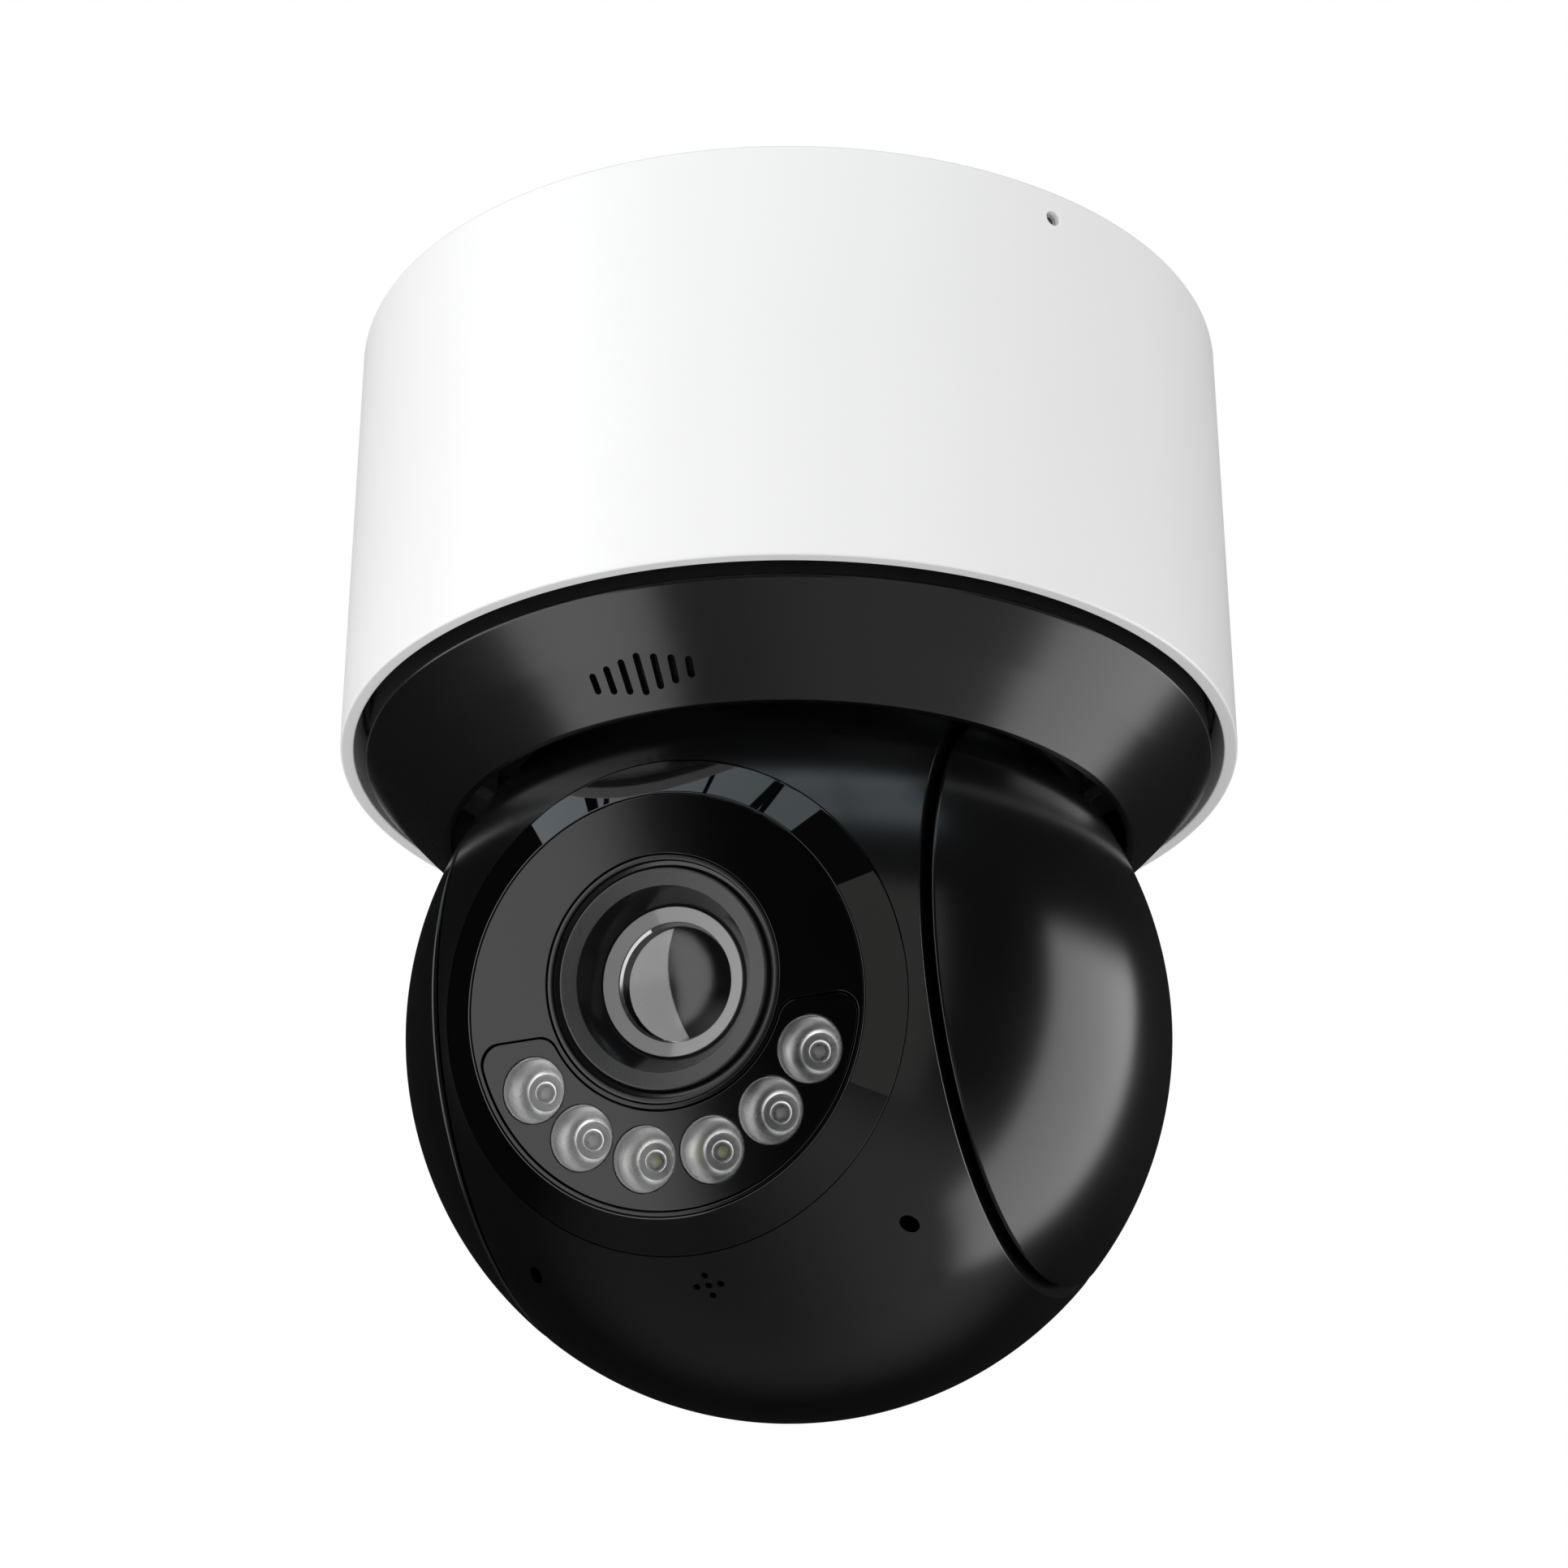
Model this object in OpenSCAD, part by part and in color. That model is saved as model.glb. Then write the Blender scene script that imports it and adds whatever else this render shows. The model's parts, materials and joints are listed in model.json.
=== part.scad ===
// Ceiling-mounted pan-tilt security camera: a fixed white base with a black skirt, a yoke that
// pans below it, and a spherical head that tilts between two cheeks.
// Origin: centre of the ceiling face of the mounting plate. +Z up, the lens looks towards -Y.

/* [Base] */
// Diameter of the white housing at its lower rim
housing_d = 160; // [156:1:166]
// Height of the white housing
housing_h = 80; // [76:1:84]
// Narrowing of the housing radius towards the ceiling
housing_draft = 1.2; // [0.6:0.1:1.6]
// Wall thickness of the moulded shells
wall = 2.4; // [2:0.1:2.8]
// Radius of the skirt at its upper edge
skirt_top_r = 75.6; // [74:0.1:76]
// Radius of the skirt at its lip
skirt_lip_r = 60.6; // [60:0.1:61]
// Height of the skirt's visible cone
skirt_h = 16.1; // [15:0.1:17]

/* [Mounting] */
// Pitch circle diameter of the ceiling screws
mount_pcd = 85; // [70:1:100]
// Diameter of each ceiling screw hole
mount_hole_d = 5.2; // [4:0.1:6]
// Bore of the rubber cable gland
gland_bore_d = 6.4; // [5:0.1:8]

/* [Ball] */
// Radius of the ball
ball_r = 66.5; // [66:0.1:67]
// Height of the ball's centre below the ceiling
ball_drop = 132.6; // [132:0.1:134]
// Half the width of the tilting section
slice_w = 43.1; // [43:0.1:43.3]
// Gap between the tilting section and each cheek
seam = 1.2; // [1:0.1:1.4]
// Lens angle below the horizon at rest
rest_tilt = 15; // [0:1:40]

/* [Window] */
// Radius of the matte face plate
face_r = 34.6; // [34.4:0.1:34.8]
// Outer radius of the glossy bezel
bezel_r = 40.9; // [40.5:0.1:41]
// Height of the lens axis above the middle of the face
lens_up = 4.2; // [4:0.1:4.4]
// Diameter of each lamp lens
lamp_d = 10.9; // [10.4:0.1:11.2]
// Number of lamps
lamps = 6; // [6:1:6]

/* [Drives] */
// Teeth on the pan gear
pan_teeth = 60; // [60:1:60]
// Teeth on the pan motor's pinion
pan_pinion_teeth = 15; // [15:1:15]
// Teeth on the tilt gear
tilt_teeth = 50; // [50:1:50]
// Teeth on the tilt motor's pinion
tilt_pinion_teeth = 12; // [12:1:12]

/* [Hidden] */
$fn = 96;

// Thin overlap that makes a cut pass cleanly through a face
eps = 0.01;
// Cut length that is longer than anything it passes through
far = 400;

housing_r = housing_d / 2;
housing_top_r = housing_r - housing_draft;
housing_in_r = housing_top_r - wall;
rim_in_r = housing_in_r + 1.2;
edge = 0.8;

plate_r = housing_in_r - 0.3;
plate_t = 2.4;
plate_rim_h = 10;
plate_cable_r = 17;
screw_az = 57.5;
screw_z = -5.6;
screw_hole_r = 1.35;
m3_r = 1.5;
m3_head_r = 2.8;
m3_head_h = 1.6;
m3_thread_r = m3_r - 0.02;
m3_free_r = m3_r + 0.1;
base_head_r = 2.4;
low_head_r = 1.95;
low_head_h = 0.4;
cover_angles = [30 : 60 : 330];
skirt_angles = [0 : 60 : 300];
corner_angles = [45 : 90 : 315];
hub_angles = [0 : 90 : 270];
set_screw_l = 5;
set_screw_r = m3_r - 0.2;

lip = 0.4;
rim_slope = 2.2;
blind_hole = 8;
ledge_in_r = 71;
ledge_t = 2.5;
cover_z = -12.5;
cover_t = 2;
cover_gap = 0.6;
cover_rib = 2;
gasket_t = 1;
cover_screw_r = 73;
gland_neck_r = 10;
gland_flange_r = 13;
gland_top_z = -6;
gland_low_z = -18;
gland_lip = 2;

board_t = 1.6;
main_board_z = -24;
main_board_r = 62;
main_board_hole_r = 13;
post_ring_r = 52;
power_board_z = -42;
power_board_w = 66;
power_board_l = 34;
power_board_y = -60;
power_post_x = 30;
power_post_y = [-56, -30];
jack_x = -51;
jack_w = 16;
jack_h = 13.5;
socket_r = 4.5;
socket_l = 14;
chassis_z = -50;
chassis_t = 4;
chassis_r = 75.9;
chassis_screw_r = 73;

hub_r = 12;
hub_bore_r = 8.5;
hub_screw_r = 17;
bearing_r = 20;
running = 0.05;
gap = 0.1;
wiring_hole_r = 9;
wiring_x = 46;
pan_plate_z = -61;
pan_plate_t = 3;
pan_plate_r = 62;
pan_gear_z = -56;
pan_shaft_l = 16;
slip_body_r = 8.2;
slip_low_z = -57;
slip_top_z = -36.5;
slip_rotor_r = 3;
bridge_t = 2;
bridge_w = 58;
bridge_l = 30;
gear_t = 4;
pan_module = 1;
tilt_module = 0.6;
gear_slack = 0.1;
pan_centre = pan_module * (pan_teeth + pan_pinion_teeth) / 2 + gear_slack;
tilt_centre = tilt_module * (tilt_teeth + tilt_pinion_teeth) / 2 + gear_slack * tilt_module;
pan_motor_r = 14;
pan_motor_h = 19;
pan_motor_ear = 17.5;
pan_spigot_r = 4.4;
motor_shaft_r = 2.5;

skirt_top_z = -housing_h - 1.1;
skirt_lip_z = skirt_top_z - skirt_h;
skirt_flange_z = -70;
skirt_screw_r = 70.1;
skirt_boss_r = 3.2;
skirt_boss_h = 5;
skirt_wall = 2;
slots = 7;
slot_step = 2.5;
slot_w = 1.25;
slot_z = -92.15;
slot_r = 65.4;
slot_spans = [7.5, 6.3, 5.1, 3.8];
slot_depth = 9;
speaker_w = 26;
speaker_l = 10.6;
speaker_h = 7.5;
speaker_z = -79;
cloth_t = 0.4;
cloth_span = 24;

cheek_x = slice_w + seam;
cheek_in_r = ball_r - wall;
arm_x = 47;
arm_t = 3;
arm_disc_r = 36;
arm_half = 16;
arm_gap = 0.5;
foot_x = 59;
foot_screw_x = 54;
foot_screw_y = 10;
boss_ring_r = 32;
boss_r = 3.4;
boss_h = 12;
cheek_ring_r = 38;
cheek_ring_t = 2;
cheek_screw_r = 1.2;
cheek_screw_l = 8;
shaft_left_r = 8;
shaft_right_r = 5;
bearing_left_r = 12.5;
bearing_right_r = 8.5;
bearing_t = 4;
bearing_x = arm_x - 0.5;
tilt_motor_r = 9;
tilt_motor_l = 9.4;
tilt_motor_x = arm_x - 0.4;
tilt_motor_shaft_r = 1.5;
tilt_gear_x = 56.6;
tilt_gear_t = 2.4;
shaft_flange_r = 6;
shaft_flange_t = 2.4;

split_n = -15;
face_n = 56.5;
face_t = 2;
bezel_n = sqrt(ball_r * ball_r - bezel_r * bezel_r);
lens_hole_r = 20.6;
lamp_ring_r = 27.65;
lamp_ring_up = 2.3;
lamp_step = 24.6;
function lamp_angle(i) = -90 + lamp_step * (i - (lamps - 1) / 2);
insert_in_r = 21.4;
insert_out_r = 33.9;
insert_top = -2.3;
insert_gap = 0.25;
insert_corner = 3.4;
face_posts = [[-28, 12], [28, 12], [0, 29.5]];
face_post_r = 2.4;
bracket_n = 42;
bracket_t = 2.5;
bracket_r = 37;
lamp_board_n = 46.2;
lamp_gap = 0.12;
lamp_neck_r = 2.9;
lamp_cup_r = 1.9;
lamp_back_n = 48.9;
emitter = 2.4;
lens_seat = 50;
trim_r = lens_hole_r - 0.1;
hood_r = 18.3;
hood_in_r = 15.4;
barrel_r = 17.8;
barrel_bore_r = 15;
barrel_low_n = 18;
barrel_mount_n = 12.6;
glass_r = 13.3;
glass_rise = 4.4;
zoom_n = 37;
focus_n = 24.5;
cell_r = barrel_bore_r - 0.3;
filter_n = 15;
filter_travel = 10;
filter_room = 31.4;
filter_half = 6;
filter_window_r = 4.2;
filter_t = 1.6;
sensor_board_n = 11;
sensor_board_w = 40;
sink_w = 34;
sink_fin_h = 8.2;
sink_fin_t = 1.6;
mic_angle = 43.3;
mic_pitch = 2.1;
mic_hole_r = 0.6;
mic_r = 4;
mic_h = 3.4;
mic_seat = 60;
pin_x = 33.2;
pin_up = 39.4;
pin_r = 1.3;
pin_boss_r = 3.4;
pin_seat = -34;
head_screw_r = 1.2;
head_screw_h = 1.4;
bezel_seat = 3;
seat_ring_t = 4;
gasket_gap = 0.4;
service_angle = 128;
service_w = 32;
service_l = 20;
service_seat = ball_r - 3.6;
service_screw_x = 12.6;
service_screw_r = 0.95;
service_boss_r = 2.6;
service_boss_n = 58;
service_corner_r = 4;
service_gap = 0.3;
board_seat = 52.4;
reset_x = 6;
reset_r = 1.1;
notch = [8.2, 8, 10];
notch_lean = 16;
notch_y = -56;

white_abs = [0.93, 0.93, 0.92];
black_abs = [0.07, 0.07, 0.08];
dark_abs = [0.16, 0.16, 0.17];
steel = [0.72, 0.73, 0.75];
alloy = [0.6, 0.62, 0.64];
rubber = [0.12, 0.12, 0.12];
board = [0.08, 0.3, 0.16];
brass_tone = [0.8, 0.66, 0.34];
acetal = [0.88, 0.86, 0.78];
clear = [0.75, 0.82, 0.86];

// ---------- helpers ----------

// The tilting head's own frame: X along the tilt axis, Y up the face, Z out through the lens
module head() {
    translate([0, 0, -ball_drop]) rotate([90 + rest_tilt, 0, 0]) children();
}

// A frame at the ball's centre whose Z axis points along +X (side = 1) or -X (side = -1)
module sideways(side) {
    translate([0, 0, -ball_drop]) mirror([side < 0 ? 1 : 0, 0, 0]) rotate([90, 0, 90]) children();
}

module ring(outer, inner, height) {
    difference() {
        cylinder(r = outer, h = height);
        translate([0, 0, -eps]) cylinder(r = inner, h = height + 2 * eps);
    }
}

module round_rect(w, l, r) {
    square([w - 2 * r, l], center = true);
    square([w, l - 2 * r], center = true);
    for (x = [-1, 1], y = [-1, 1]) translate([x * (w / 2 - r), y * (l / 2 - r)]) circle(r = r);
}

// Pan-head machine screw, head up, its seat at z = 0
module screw(r, length, head_r, head_h) {
    difference() {
        union() {
            cylinder(r = head_r, h = head_h);
            translate([0, 0, -length]) cylinder(r = r, h = length + eps);
        }
        for (a = [0, 90]) rotate(a) translate([-head_r * 0.6, -0.3, head_h / 2])
            cube([head_r * 1.2, 0.6, head_h]);
    }
}

// Point of an involute at roll angle t (radians), turned by a (degrees)
function flank(rb, t, a, s) =
    let (r = rb * sqrt(1 + t * t), p = a + s * (t * 180 / PI - atan(t))) [r * cos(p), r * sin(p)];

// Outline of a spur gear with one tooth centred on the X axis
function gear_points(m, n) =
    let (
        rp = m * n / 2,
        rb = rp * cos(20),
        ro = rp + 0.9 * m,
        rr = rp - 1.15 * m,
        tip = sqrt(pow(ro / rb, 2) - 1),
        start = rr > rb ? sqrt(pow(rr / rb, 2) - 1) : 0,
        half = 90 / n - 0.05 * m / rp * 180 / PI + (tan(20) * 180 / PI - 20),
        foot = rr > rb ? half - (start * 180 / PI - atan(start)) : half
    )
    [for (i = [0 : n - 1]) let (a = 360 * i / n) each [
        [min(rr, rb) * cos(a - foot), min(rr, rb) * sin(a - foot)],
        for (k = [0 : 3]) if (rr <= rb || k > 0) flank(rb, start + (tip - start) * k / 3, a - half, 1),
        for (k = [3 : -1 : 0]) if (rr <= rb || k > 0) flank(rb, start + (tip - start) * k / 3, a + half, -1),
        [min(rr, rb) * cos(a + foot), min(rr, rb) * sin(a + foot)]
    ]];

module gear(m, n, bore_r, height, turn) {
    difference() {
        linear_extrude(height) rotate(turn) polygon(gear_points(m, n));
        if (bore_r > 0) translate([0, 0, -eps]) cylinder(r = bore_r, h = height + 2 * eps);
    }
}

// Slab of the ball between two planes across the tilt axis
module ball_slice(r, half_w) {
    intersection() {
        sphere(r = r);
        cube([2 * half_w, far, far], center = true);
    }
}

// ---------- base: ceiling plate and white housing ----------

module mounting_plate() color(steel) difference() {
    union() {
        translate([0, 0, -plate_t]) cylinder(r = plate_r, h = plate_t);
        translate([0, 0, -plate_rim_h]) ring(plate_r, plate_r - plate_t, plate_rim_h);
    }
    translate([0, 0, -far / 2]) cylinder(r = plate_cable_r, h = far);
    for (a = corner_angles) rotate(a) translate([mount_pcd / 2, 0, -far / 2])
        cylinder(r = mount_hole_d / 2, h = far);
    rotate(screw_az - 90) translate([0, 0, screw_z]) rotate([0, 90, 0]) cylinder(r = m3_r, h = far);
}

// Radial step on the inside of the housing, from its lower edge up
function ledge(inner, z) = [
    [housing_in_r, z], [inner, z], [inner, z + ledge_t], [housing_in_r, z + ledge_t]
];

module housing() color(white_abs) difference() {
    rotate_extrude() polygon(concat(
        [
            [housing_in_r, 0],
            [housing_top_r - edge, 0],
            [housing_top_r - edge * 0.3, -edge * 0.3],
            [housing_top_r, -edge],
            [housing_r, -housing_h + lip],
            [housing_r - lip * 0.3, -housing_h + lip * 0.3],
            [housing_r - lip, -housing_h],
            [rim_in_r + lip, -housing_h],
            [rim_in_r, -housing_h + lip],
            [housing_in_r, skirt_flange_z - rim_slope]
        ],
        ledge(skirt_screw_r - skirt_boss_r, skirt_flange_z),
        ledge(ledge_in_r, chassis_z - ledge_t),
        ledge(ledge_in_r, cover_z - gasket_t - ledge_t)
    ));
    rotate(screw_az - 90) translate([0, 0, screw_z]) rotate([0, 90, 0]) cylinder(r = screw_hole_r, h = far);
    for (a = cover_angles) rotate(a) {
        translate([cover_screw_r, 0, cover_z - blind_hole]) cylinder(r = m3_r, h = blind_hole);
        translate([chassis_screw_r, 0, chassis_z - blind_hole]) cylinder(r = m3_r, h = blind_hole + eps);
    }
    for (a = skirt_angles) rotate(a) translate([skirt_screw_r, 0, skirt_flange_z - 1])
        cylinder(r = m3_r, h = ledge_t + 2);
}

module set_screw() color(steel) rotate(screw_az - 90) translate([0, 0, screw_z]) rotate([0, 90, 0])
difference() {
    translate([0, 0, plate_r - plate_t - 1]) cylinder(r = set_screw_r, h = set_screw_l);
    translate([0, 0, plate_r + 0.6]) cylinder(r = set_screw_r * 0.58, h = set_screw_l, $fn = 6);
}

module top_cover() color(dark_abs) difference() {
    union() {
        translate([0, 0, cover_z]) cylinder(r = housing_in_r - cover_gap, h = cover_t);
        translate([0, 0, cover_z - gasket_t - ledge_t])
            ring(ledge_in_r - lip, ledge_in_r - lip - cover_rib, ledge_t + gasket_t + eps);
    }
    translate([0, 0, cover_z - far / 2]) cylinder(r = gland_neck_r, h = far);
    for (a = cover_angles) rotate(a) translate([cover_screw_r, 0, cover_z - far / 2])
        cylinder(r = m3_free_r, h = far);
}

module cover_gasket() color(rubber) translate([0, 0, cover_z - gasket_t]) difference() {
    ring(housing_in_r - cover_gap, ledge_in_r + gap, gasket_t);
    for (a = cover_angles) rotate(a) translate([cover_screw_r, 0, -eps])
        cylinder(r = m3_free_r, h = gasket_t + 2 * eps);
}

// Machine screws that hold the top cover, the chassis plate and the skirt
module base_screws() color(steel) {
    for (a = cover_angles) rotate(a) {
        translate([cover_screw_r, 0, cover_z + cover_t]) screw(m3_thread_r, 5.2, low_head_r, low_head_h);
        translate([chassis_screw_r, 0, chassis_z + chassis_t])
            screw(m3_thread_r, 6.4, base_head_r, m3_head_h);
    }
    for (a = skirt_angles) rotate(a) translate([skirt_screw_r, 0, skirt_flange_z + ledge_t])
        screw(m3_thread_r, ledge_t + 4, base_head_r, m3_head_h);
}

// Rubber gland that seals the cable where it enters the base
module cable_gland() color(rubber) difference() {
    rotate_extrude() polygon([
        [gland_bore_d / 2, gland_top_z],
        [gland_bore_d / 2 + gland_lip, gland_top_z],
        [gland_flange_r - 3, gland_top_z - 2.6],
        [gland_flange_r, gland_top_z - 3.4],
        [gland_flange_r, cover_z + cover_t],
        [gland_neck_r, cover_z + cover_t],
        [gland_neck_r, cover_z],
        [gland_flange_r - 1, cover_z],
        [gland_flange_r - 1, cover_z - 1.8],
        [gland_bore_d / 2 + gland_lip, gland_low_z],
        [gland_bore_d / 2, gland_low_z]
    ]);
    translate([0, 0, -far / 2]) cylinder(r = gland_bore_d / 2, h = far);
}

// ---------- base: electronics ----------

module main_board() color(board) {
    translate([0, 0, main_board_z]) difference() {
        cylinder(r = main_board_r, h = board_t);
        translate([0, 0, -eps]) cylinder(r = main_board_hole_r, h = board_t + 2 * eps);
        for (a = corner_angles) rotate(a) translate([post_ring_r, 0, -eps])
            cylinder(r = m3_r, h = board_t + 2 * eps);
    }
    // Processor, memory and network chips
    translate([0, 0, main_board_z + board_t]) {
        chip([0, -34], [24, 24, 2]);
        chip([31, 22], [14, 12, 1.4]);
        chip([-32, 19], [16, 10, 1.4]);
    }
}

module chip(centre, size) {
    translate([centre[0] - size[0] / 2, centre[1] - size[1] / 2, 0]) cube(size);
}

module network_jack() color(steel) difference() {
    translate([jack_x, -jack_w / 2, main_board_z - jack_h]) cube([21, jack_w, jack_h]);
    translate([jack_x - eps, -5.9, main_board_z - jack_h + 3]) cube([14, 11.8, 8]);
}

module power_jack() color(dark_abs) translate([33, 0, main_board_z - 6]) rotate([0, 90, 0]) difference() {
    union() {
        cylinder(r = socket_r, h = socket_l);
        translate([-6, -socket_r, 3]) cube([6, 2 * socket_r, socket_l - 3]);
    }
    translate([0, 0, -eps]) cylinder(r = 2.75, h = 9.5);
}

module power_board() color(board) {
    translate([-power_board_w / 2, power_board_y, power_board_z])
        cube([power_board_w, power_board_l, board_t]);
    // Transformer and two capacitors
    translate([0, 0, power_board_z + board_t]) {
        chip([-16, -45], [16, 14, 11]);
        for (x = [4, 16]) translate([x, -44, 0]) cylinder(r = 4, h = 12);
    }
}

module board_posts() color(brass_tone) {
    for (a = corner_angles) rotate(a) translate([post_ring_r, 0, chassis_z + chassis_t])
        cylinder(r = 3, h = main_board_z - chassis_z - chassis_t);
    for (x = [-1, 1], y = power_post_y) translate([x * power_post_x, y, chassis_z + chassis_t])
        cylinder(r = 2, h = power_board_z - chassis_z - chassis_t);
}

// ---------- base: chassis and pan drive ----------

module chassis_plate() color(alloy) difference() {
    translate([0, 0, chassis_z]) cylinder(r = chassis_r, h = chassis_t);
    translate([0, 0, chassis_z - eps]) cylinder(r = bearing_r, h = far);
    translate([0, pan_centre, chassis_z - eps]) cylinder(r = pan_spigot_r + gap, h = far);
    for (a = cover_angles) rotate(a) translate([chassis_screw_r, 0, chassis_z - eps])
        cylinder(r = m3_free_r, h = far);
    for (x = [-1, 1]) translate([x * wiring_x, 0, chassis_z - eps]) cylinder(r = wiring_hole_r, h = far);
}

module pan_bearing() color(steel) translate([0, 0, chassis_z])
    ring(bearing_r, hub_r + running, chassis_t);

module pan_motor() color(alloy) translate([0, pan_centre, chassis_z + chassis_t]) difference() {
    union() {
        cylinder(r = pan_motor_r, h = pan_motor_h);
        linear_extrude(1.6) round_rect(2 * (pan_motor_ear + 3.5), 9, 4);
        translate([0, 0, -chassis_t]) cylinder(r = pan_spigot_r, h = chassis_t + eps);
    }
    translate([0, 0, -chassis_t - eps]) cylinder(r = motor_shaft_r + running, h = 14);
    for (x = [-1, 1]) translate([x * pan_motor_ear, 0, -eps]) cylinder(r = m3_r, h = 3);
}

module pan_pinion() color(brass_tone) translate([0, pan_centre, pan_gear_z]) {
    gear(pan_module, pan_pinion_teeth, 0, gear_t, 270 - 180 / pan_pinion_teeth);
    cylinder(r = motor_shaft_r, h = pan_shaft_l);
}

module slip_ring_bridge() color(alloy) difference() {
    union() {
        translate([0, 0, slip_top_z - bridge_t]) linear_extrude(bridge_t) round_rect(bridge_w, bridge_l, 6);
        for (x = [-1, 1]) translate([x * (bridge_w / 2 - 4), 0, chassis_z + chassis_t])
            cylinder(r = 3.5, h = slip_top_z - bridge_t - chassis_z - chassis_t + eps);
    }
    translate([0, 0, -far / 2]) cylinder(r = slip_body_r + gap, h = far);
}

// Fixed half of the slip ring; it hangs inside the hollow pan hub
module slip_ring_body() color(dark_abs) difference() {
    union() {
        translate([0, 0, slip_low_z]) cylinder(r = slip_body_r, h = slip_top_z - slip_low_z + 0.5);
        translate([0, 0, slip_top_z]) cylinder(r = hub_r + 0.5, h = 2);
    }
    translate([0, 0, slip_low_z - eps]) cylinder(r = slip_rotor_r + running, h = 12);
}

module slip_ring_rotor() color(acetal) translate([0, 0, pan_plate_z - 1.5])
    cylinder(r = slip_rotor_r, h = 16);

// ---------- base: skirt ----------

module skirt() color(black_abs) difference() {
    union() {
        rotate_extrude() polygon([
            [skirt_top_r - 3, skirt_flange_z],
            [housing_in_r - 0.2, skirt_flange_z],
            [housing_in_r - 0.2, skirt_flange_z - 2],
            [skirt_top_r - 0.9, skirt_flange_z - 2],
            [skirt_top_r - 0.9, skirt_top_z + 0.25],
            [skirt_top_r - 0.45, skirt_top_z + 0.05],
            [skirt_top_r, skirt_top_z - 0.6],
            [(skirt_top_r + skirt_lip_r) / 2 + 0.25, (skirt_top_z + skirt_lip_z) / 2],
            [skirt_lip_r + 0.1, skirt_lip_z + 0.7],
            [skirt_lip_r - 0.1, skirt_lip_z + 0.2],
            [skirt_lip_r - 0.5, skirt_lip_z],
            [skirt_lip_r - skirt_wall, skirt_lip_z],
            [skirt_lip_r - skirt_wall, skirt_lip_z + 1],
            [skirt_top_r - 3, skirt_top_z - 0.2]
        ]);
        for (a = skirt_angles) rotate(a) translate([skirt_screw_r, 0, skirt_flange_z - skirt_boss_h])
            cylinder(r = skirt_boss_r, h = skirt_boss_h);
        // Ribs that hold the speaker at both ends
        for (x = [-1, 1]) translate([x * (speaker_w / 2 + 0.8) - 0.8, -73.6, speaker_z - 1])
            cube([1.6, 13.6, speaker_h + 1.5]);
    }
    grille_slots();
    for (a = skirt_angles) rotate(a) translate([skirt_screw_r, 0, skirt_flange_z - skirt_boss_h + 1])
        cylinder(r = m3_r, h = skirt_boss_h);
}

// Vertical slots, longest in the middle, cut square to the cone
module grille_slots() {
    slope = atan((skirt_top_r - skirt_lip_r) / skirt_h);
    for (i = [0 : slots - 1]) {
        k = i - (slots - 1) / 2;
        half = (slot_spans[abs(k)] - slot_w) / 2;
        rotate(-90 + slot_step * k) translate([slot_r, 0, slot_z]) rotate([0, slope, 0]) {
            translate([4 - slot_depth, -slot_w / 2, -half]) cube([slot_depth, slot_w, 2 * half]);
            for (e = [-1, 1]) translate([4 - slot_depth, 0, e * half]) rotate([0, 90, 0])
                cylinder(r = slot_w / 2, h = slot_depth, $fn = 24);
        }
    }
}

module speaker() color(dark_abs) translate([0, -slot_r, speaker_z]) difference() {
    linear_extrude(speaker_h) round_rect(speaker_w, speaker_l, 4);
    translate([0, 0, -eps]) linear_extrude(0.8) round_rect(speaker_w - 4, speaker_l - 3.2, 3);
}

// Cloth laid against the inside of the cone, behind the slots
module grille_cloth() color(rubber) rotate(-90 - cloth_span / 2) rotate_extrude(angle = cloth_span) polygon([
    [slot_r - 6.4, slot_z - 3.05],
    [slot_r - 6.4 + cloth_t, slot_z - 3.05],
    [slot_r + 0.3 + cloth_t, slot_z + 4.15],
    [slot_r + 0.3, slot_z + 4.15]
]);

// ---------- pan: turntable and yoke ----------

module pan_hub() color(alloy) difference() {
    union() {
        translate([0, 0, pan_plate_z + pan_plate_t]) cylinder(r = hub_screw_r + 5, h = 1.8);
        translate([0, 0, pan_plate_z + pan_plate_t]) cylinder(r = hub_r, h = 17);
    }
    translate([0, 0, pan_plate_z - eps]) cylinder(r = hub_bore_r, h = far);
    for (a = hub_angles) rotate(a) translate([hub_screw_r, 0, pan_plate_z])
        cylinder(r = m3_thread_r, h = far);
}

module pan_gear() color(acetal) difference() {
    translate([0, 0, pan_gear_z]) gear(pan_module, pan_teeth, hub_r, gear_t, 0);
    for (a = skirt_angles) rotate(a) translate([21, 0, pan_gear_z - eps]) cylinder(r = 4, h = far);
}

module hub_ring() color(steel) translate([0, 0, chassis_z + chassis_t + 0.3]) ring(hub_r + 3, hub_r, 1.5);

module pan_plate() color(alloy) difference() {
    translate([0, 0, pan_plate_z]) cylinder(r = pan_plate_r, h = pan_plate_t);
    translate([0, 0, pan_plate_z - eps]) cylinder(r = slip_rotor_r, h = far);
    for (a = hub_angles) rotate(a) translate([hub_screw_r, 0, pan_plate_z - eps])
        cylinder(r = m3_thread_r, h = far);
    for (x = [-1, 1], y = [-1, 1]) translate([x * foot_screw_x, y * foot_screw_y, pan_plate_z - eps])
        cylinder(r = m3_thread_r, h = far);
    for (y = [-1, 1]) translate([0, y * 42, pan_plate_z - eps]) cylinder(r = wiring_hole_r, h = far);
}

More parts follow.
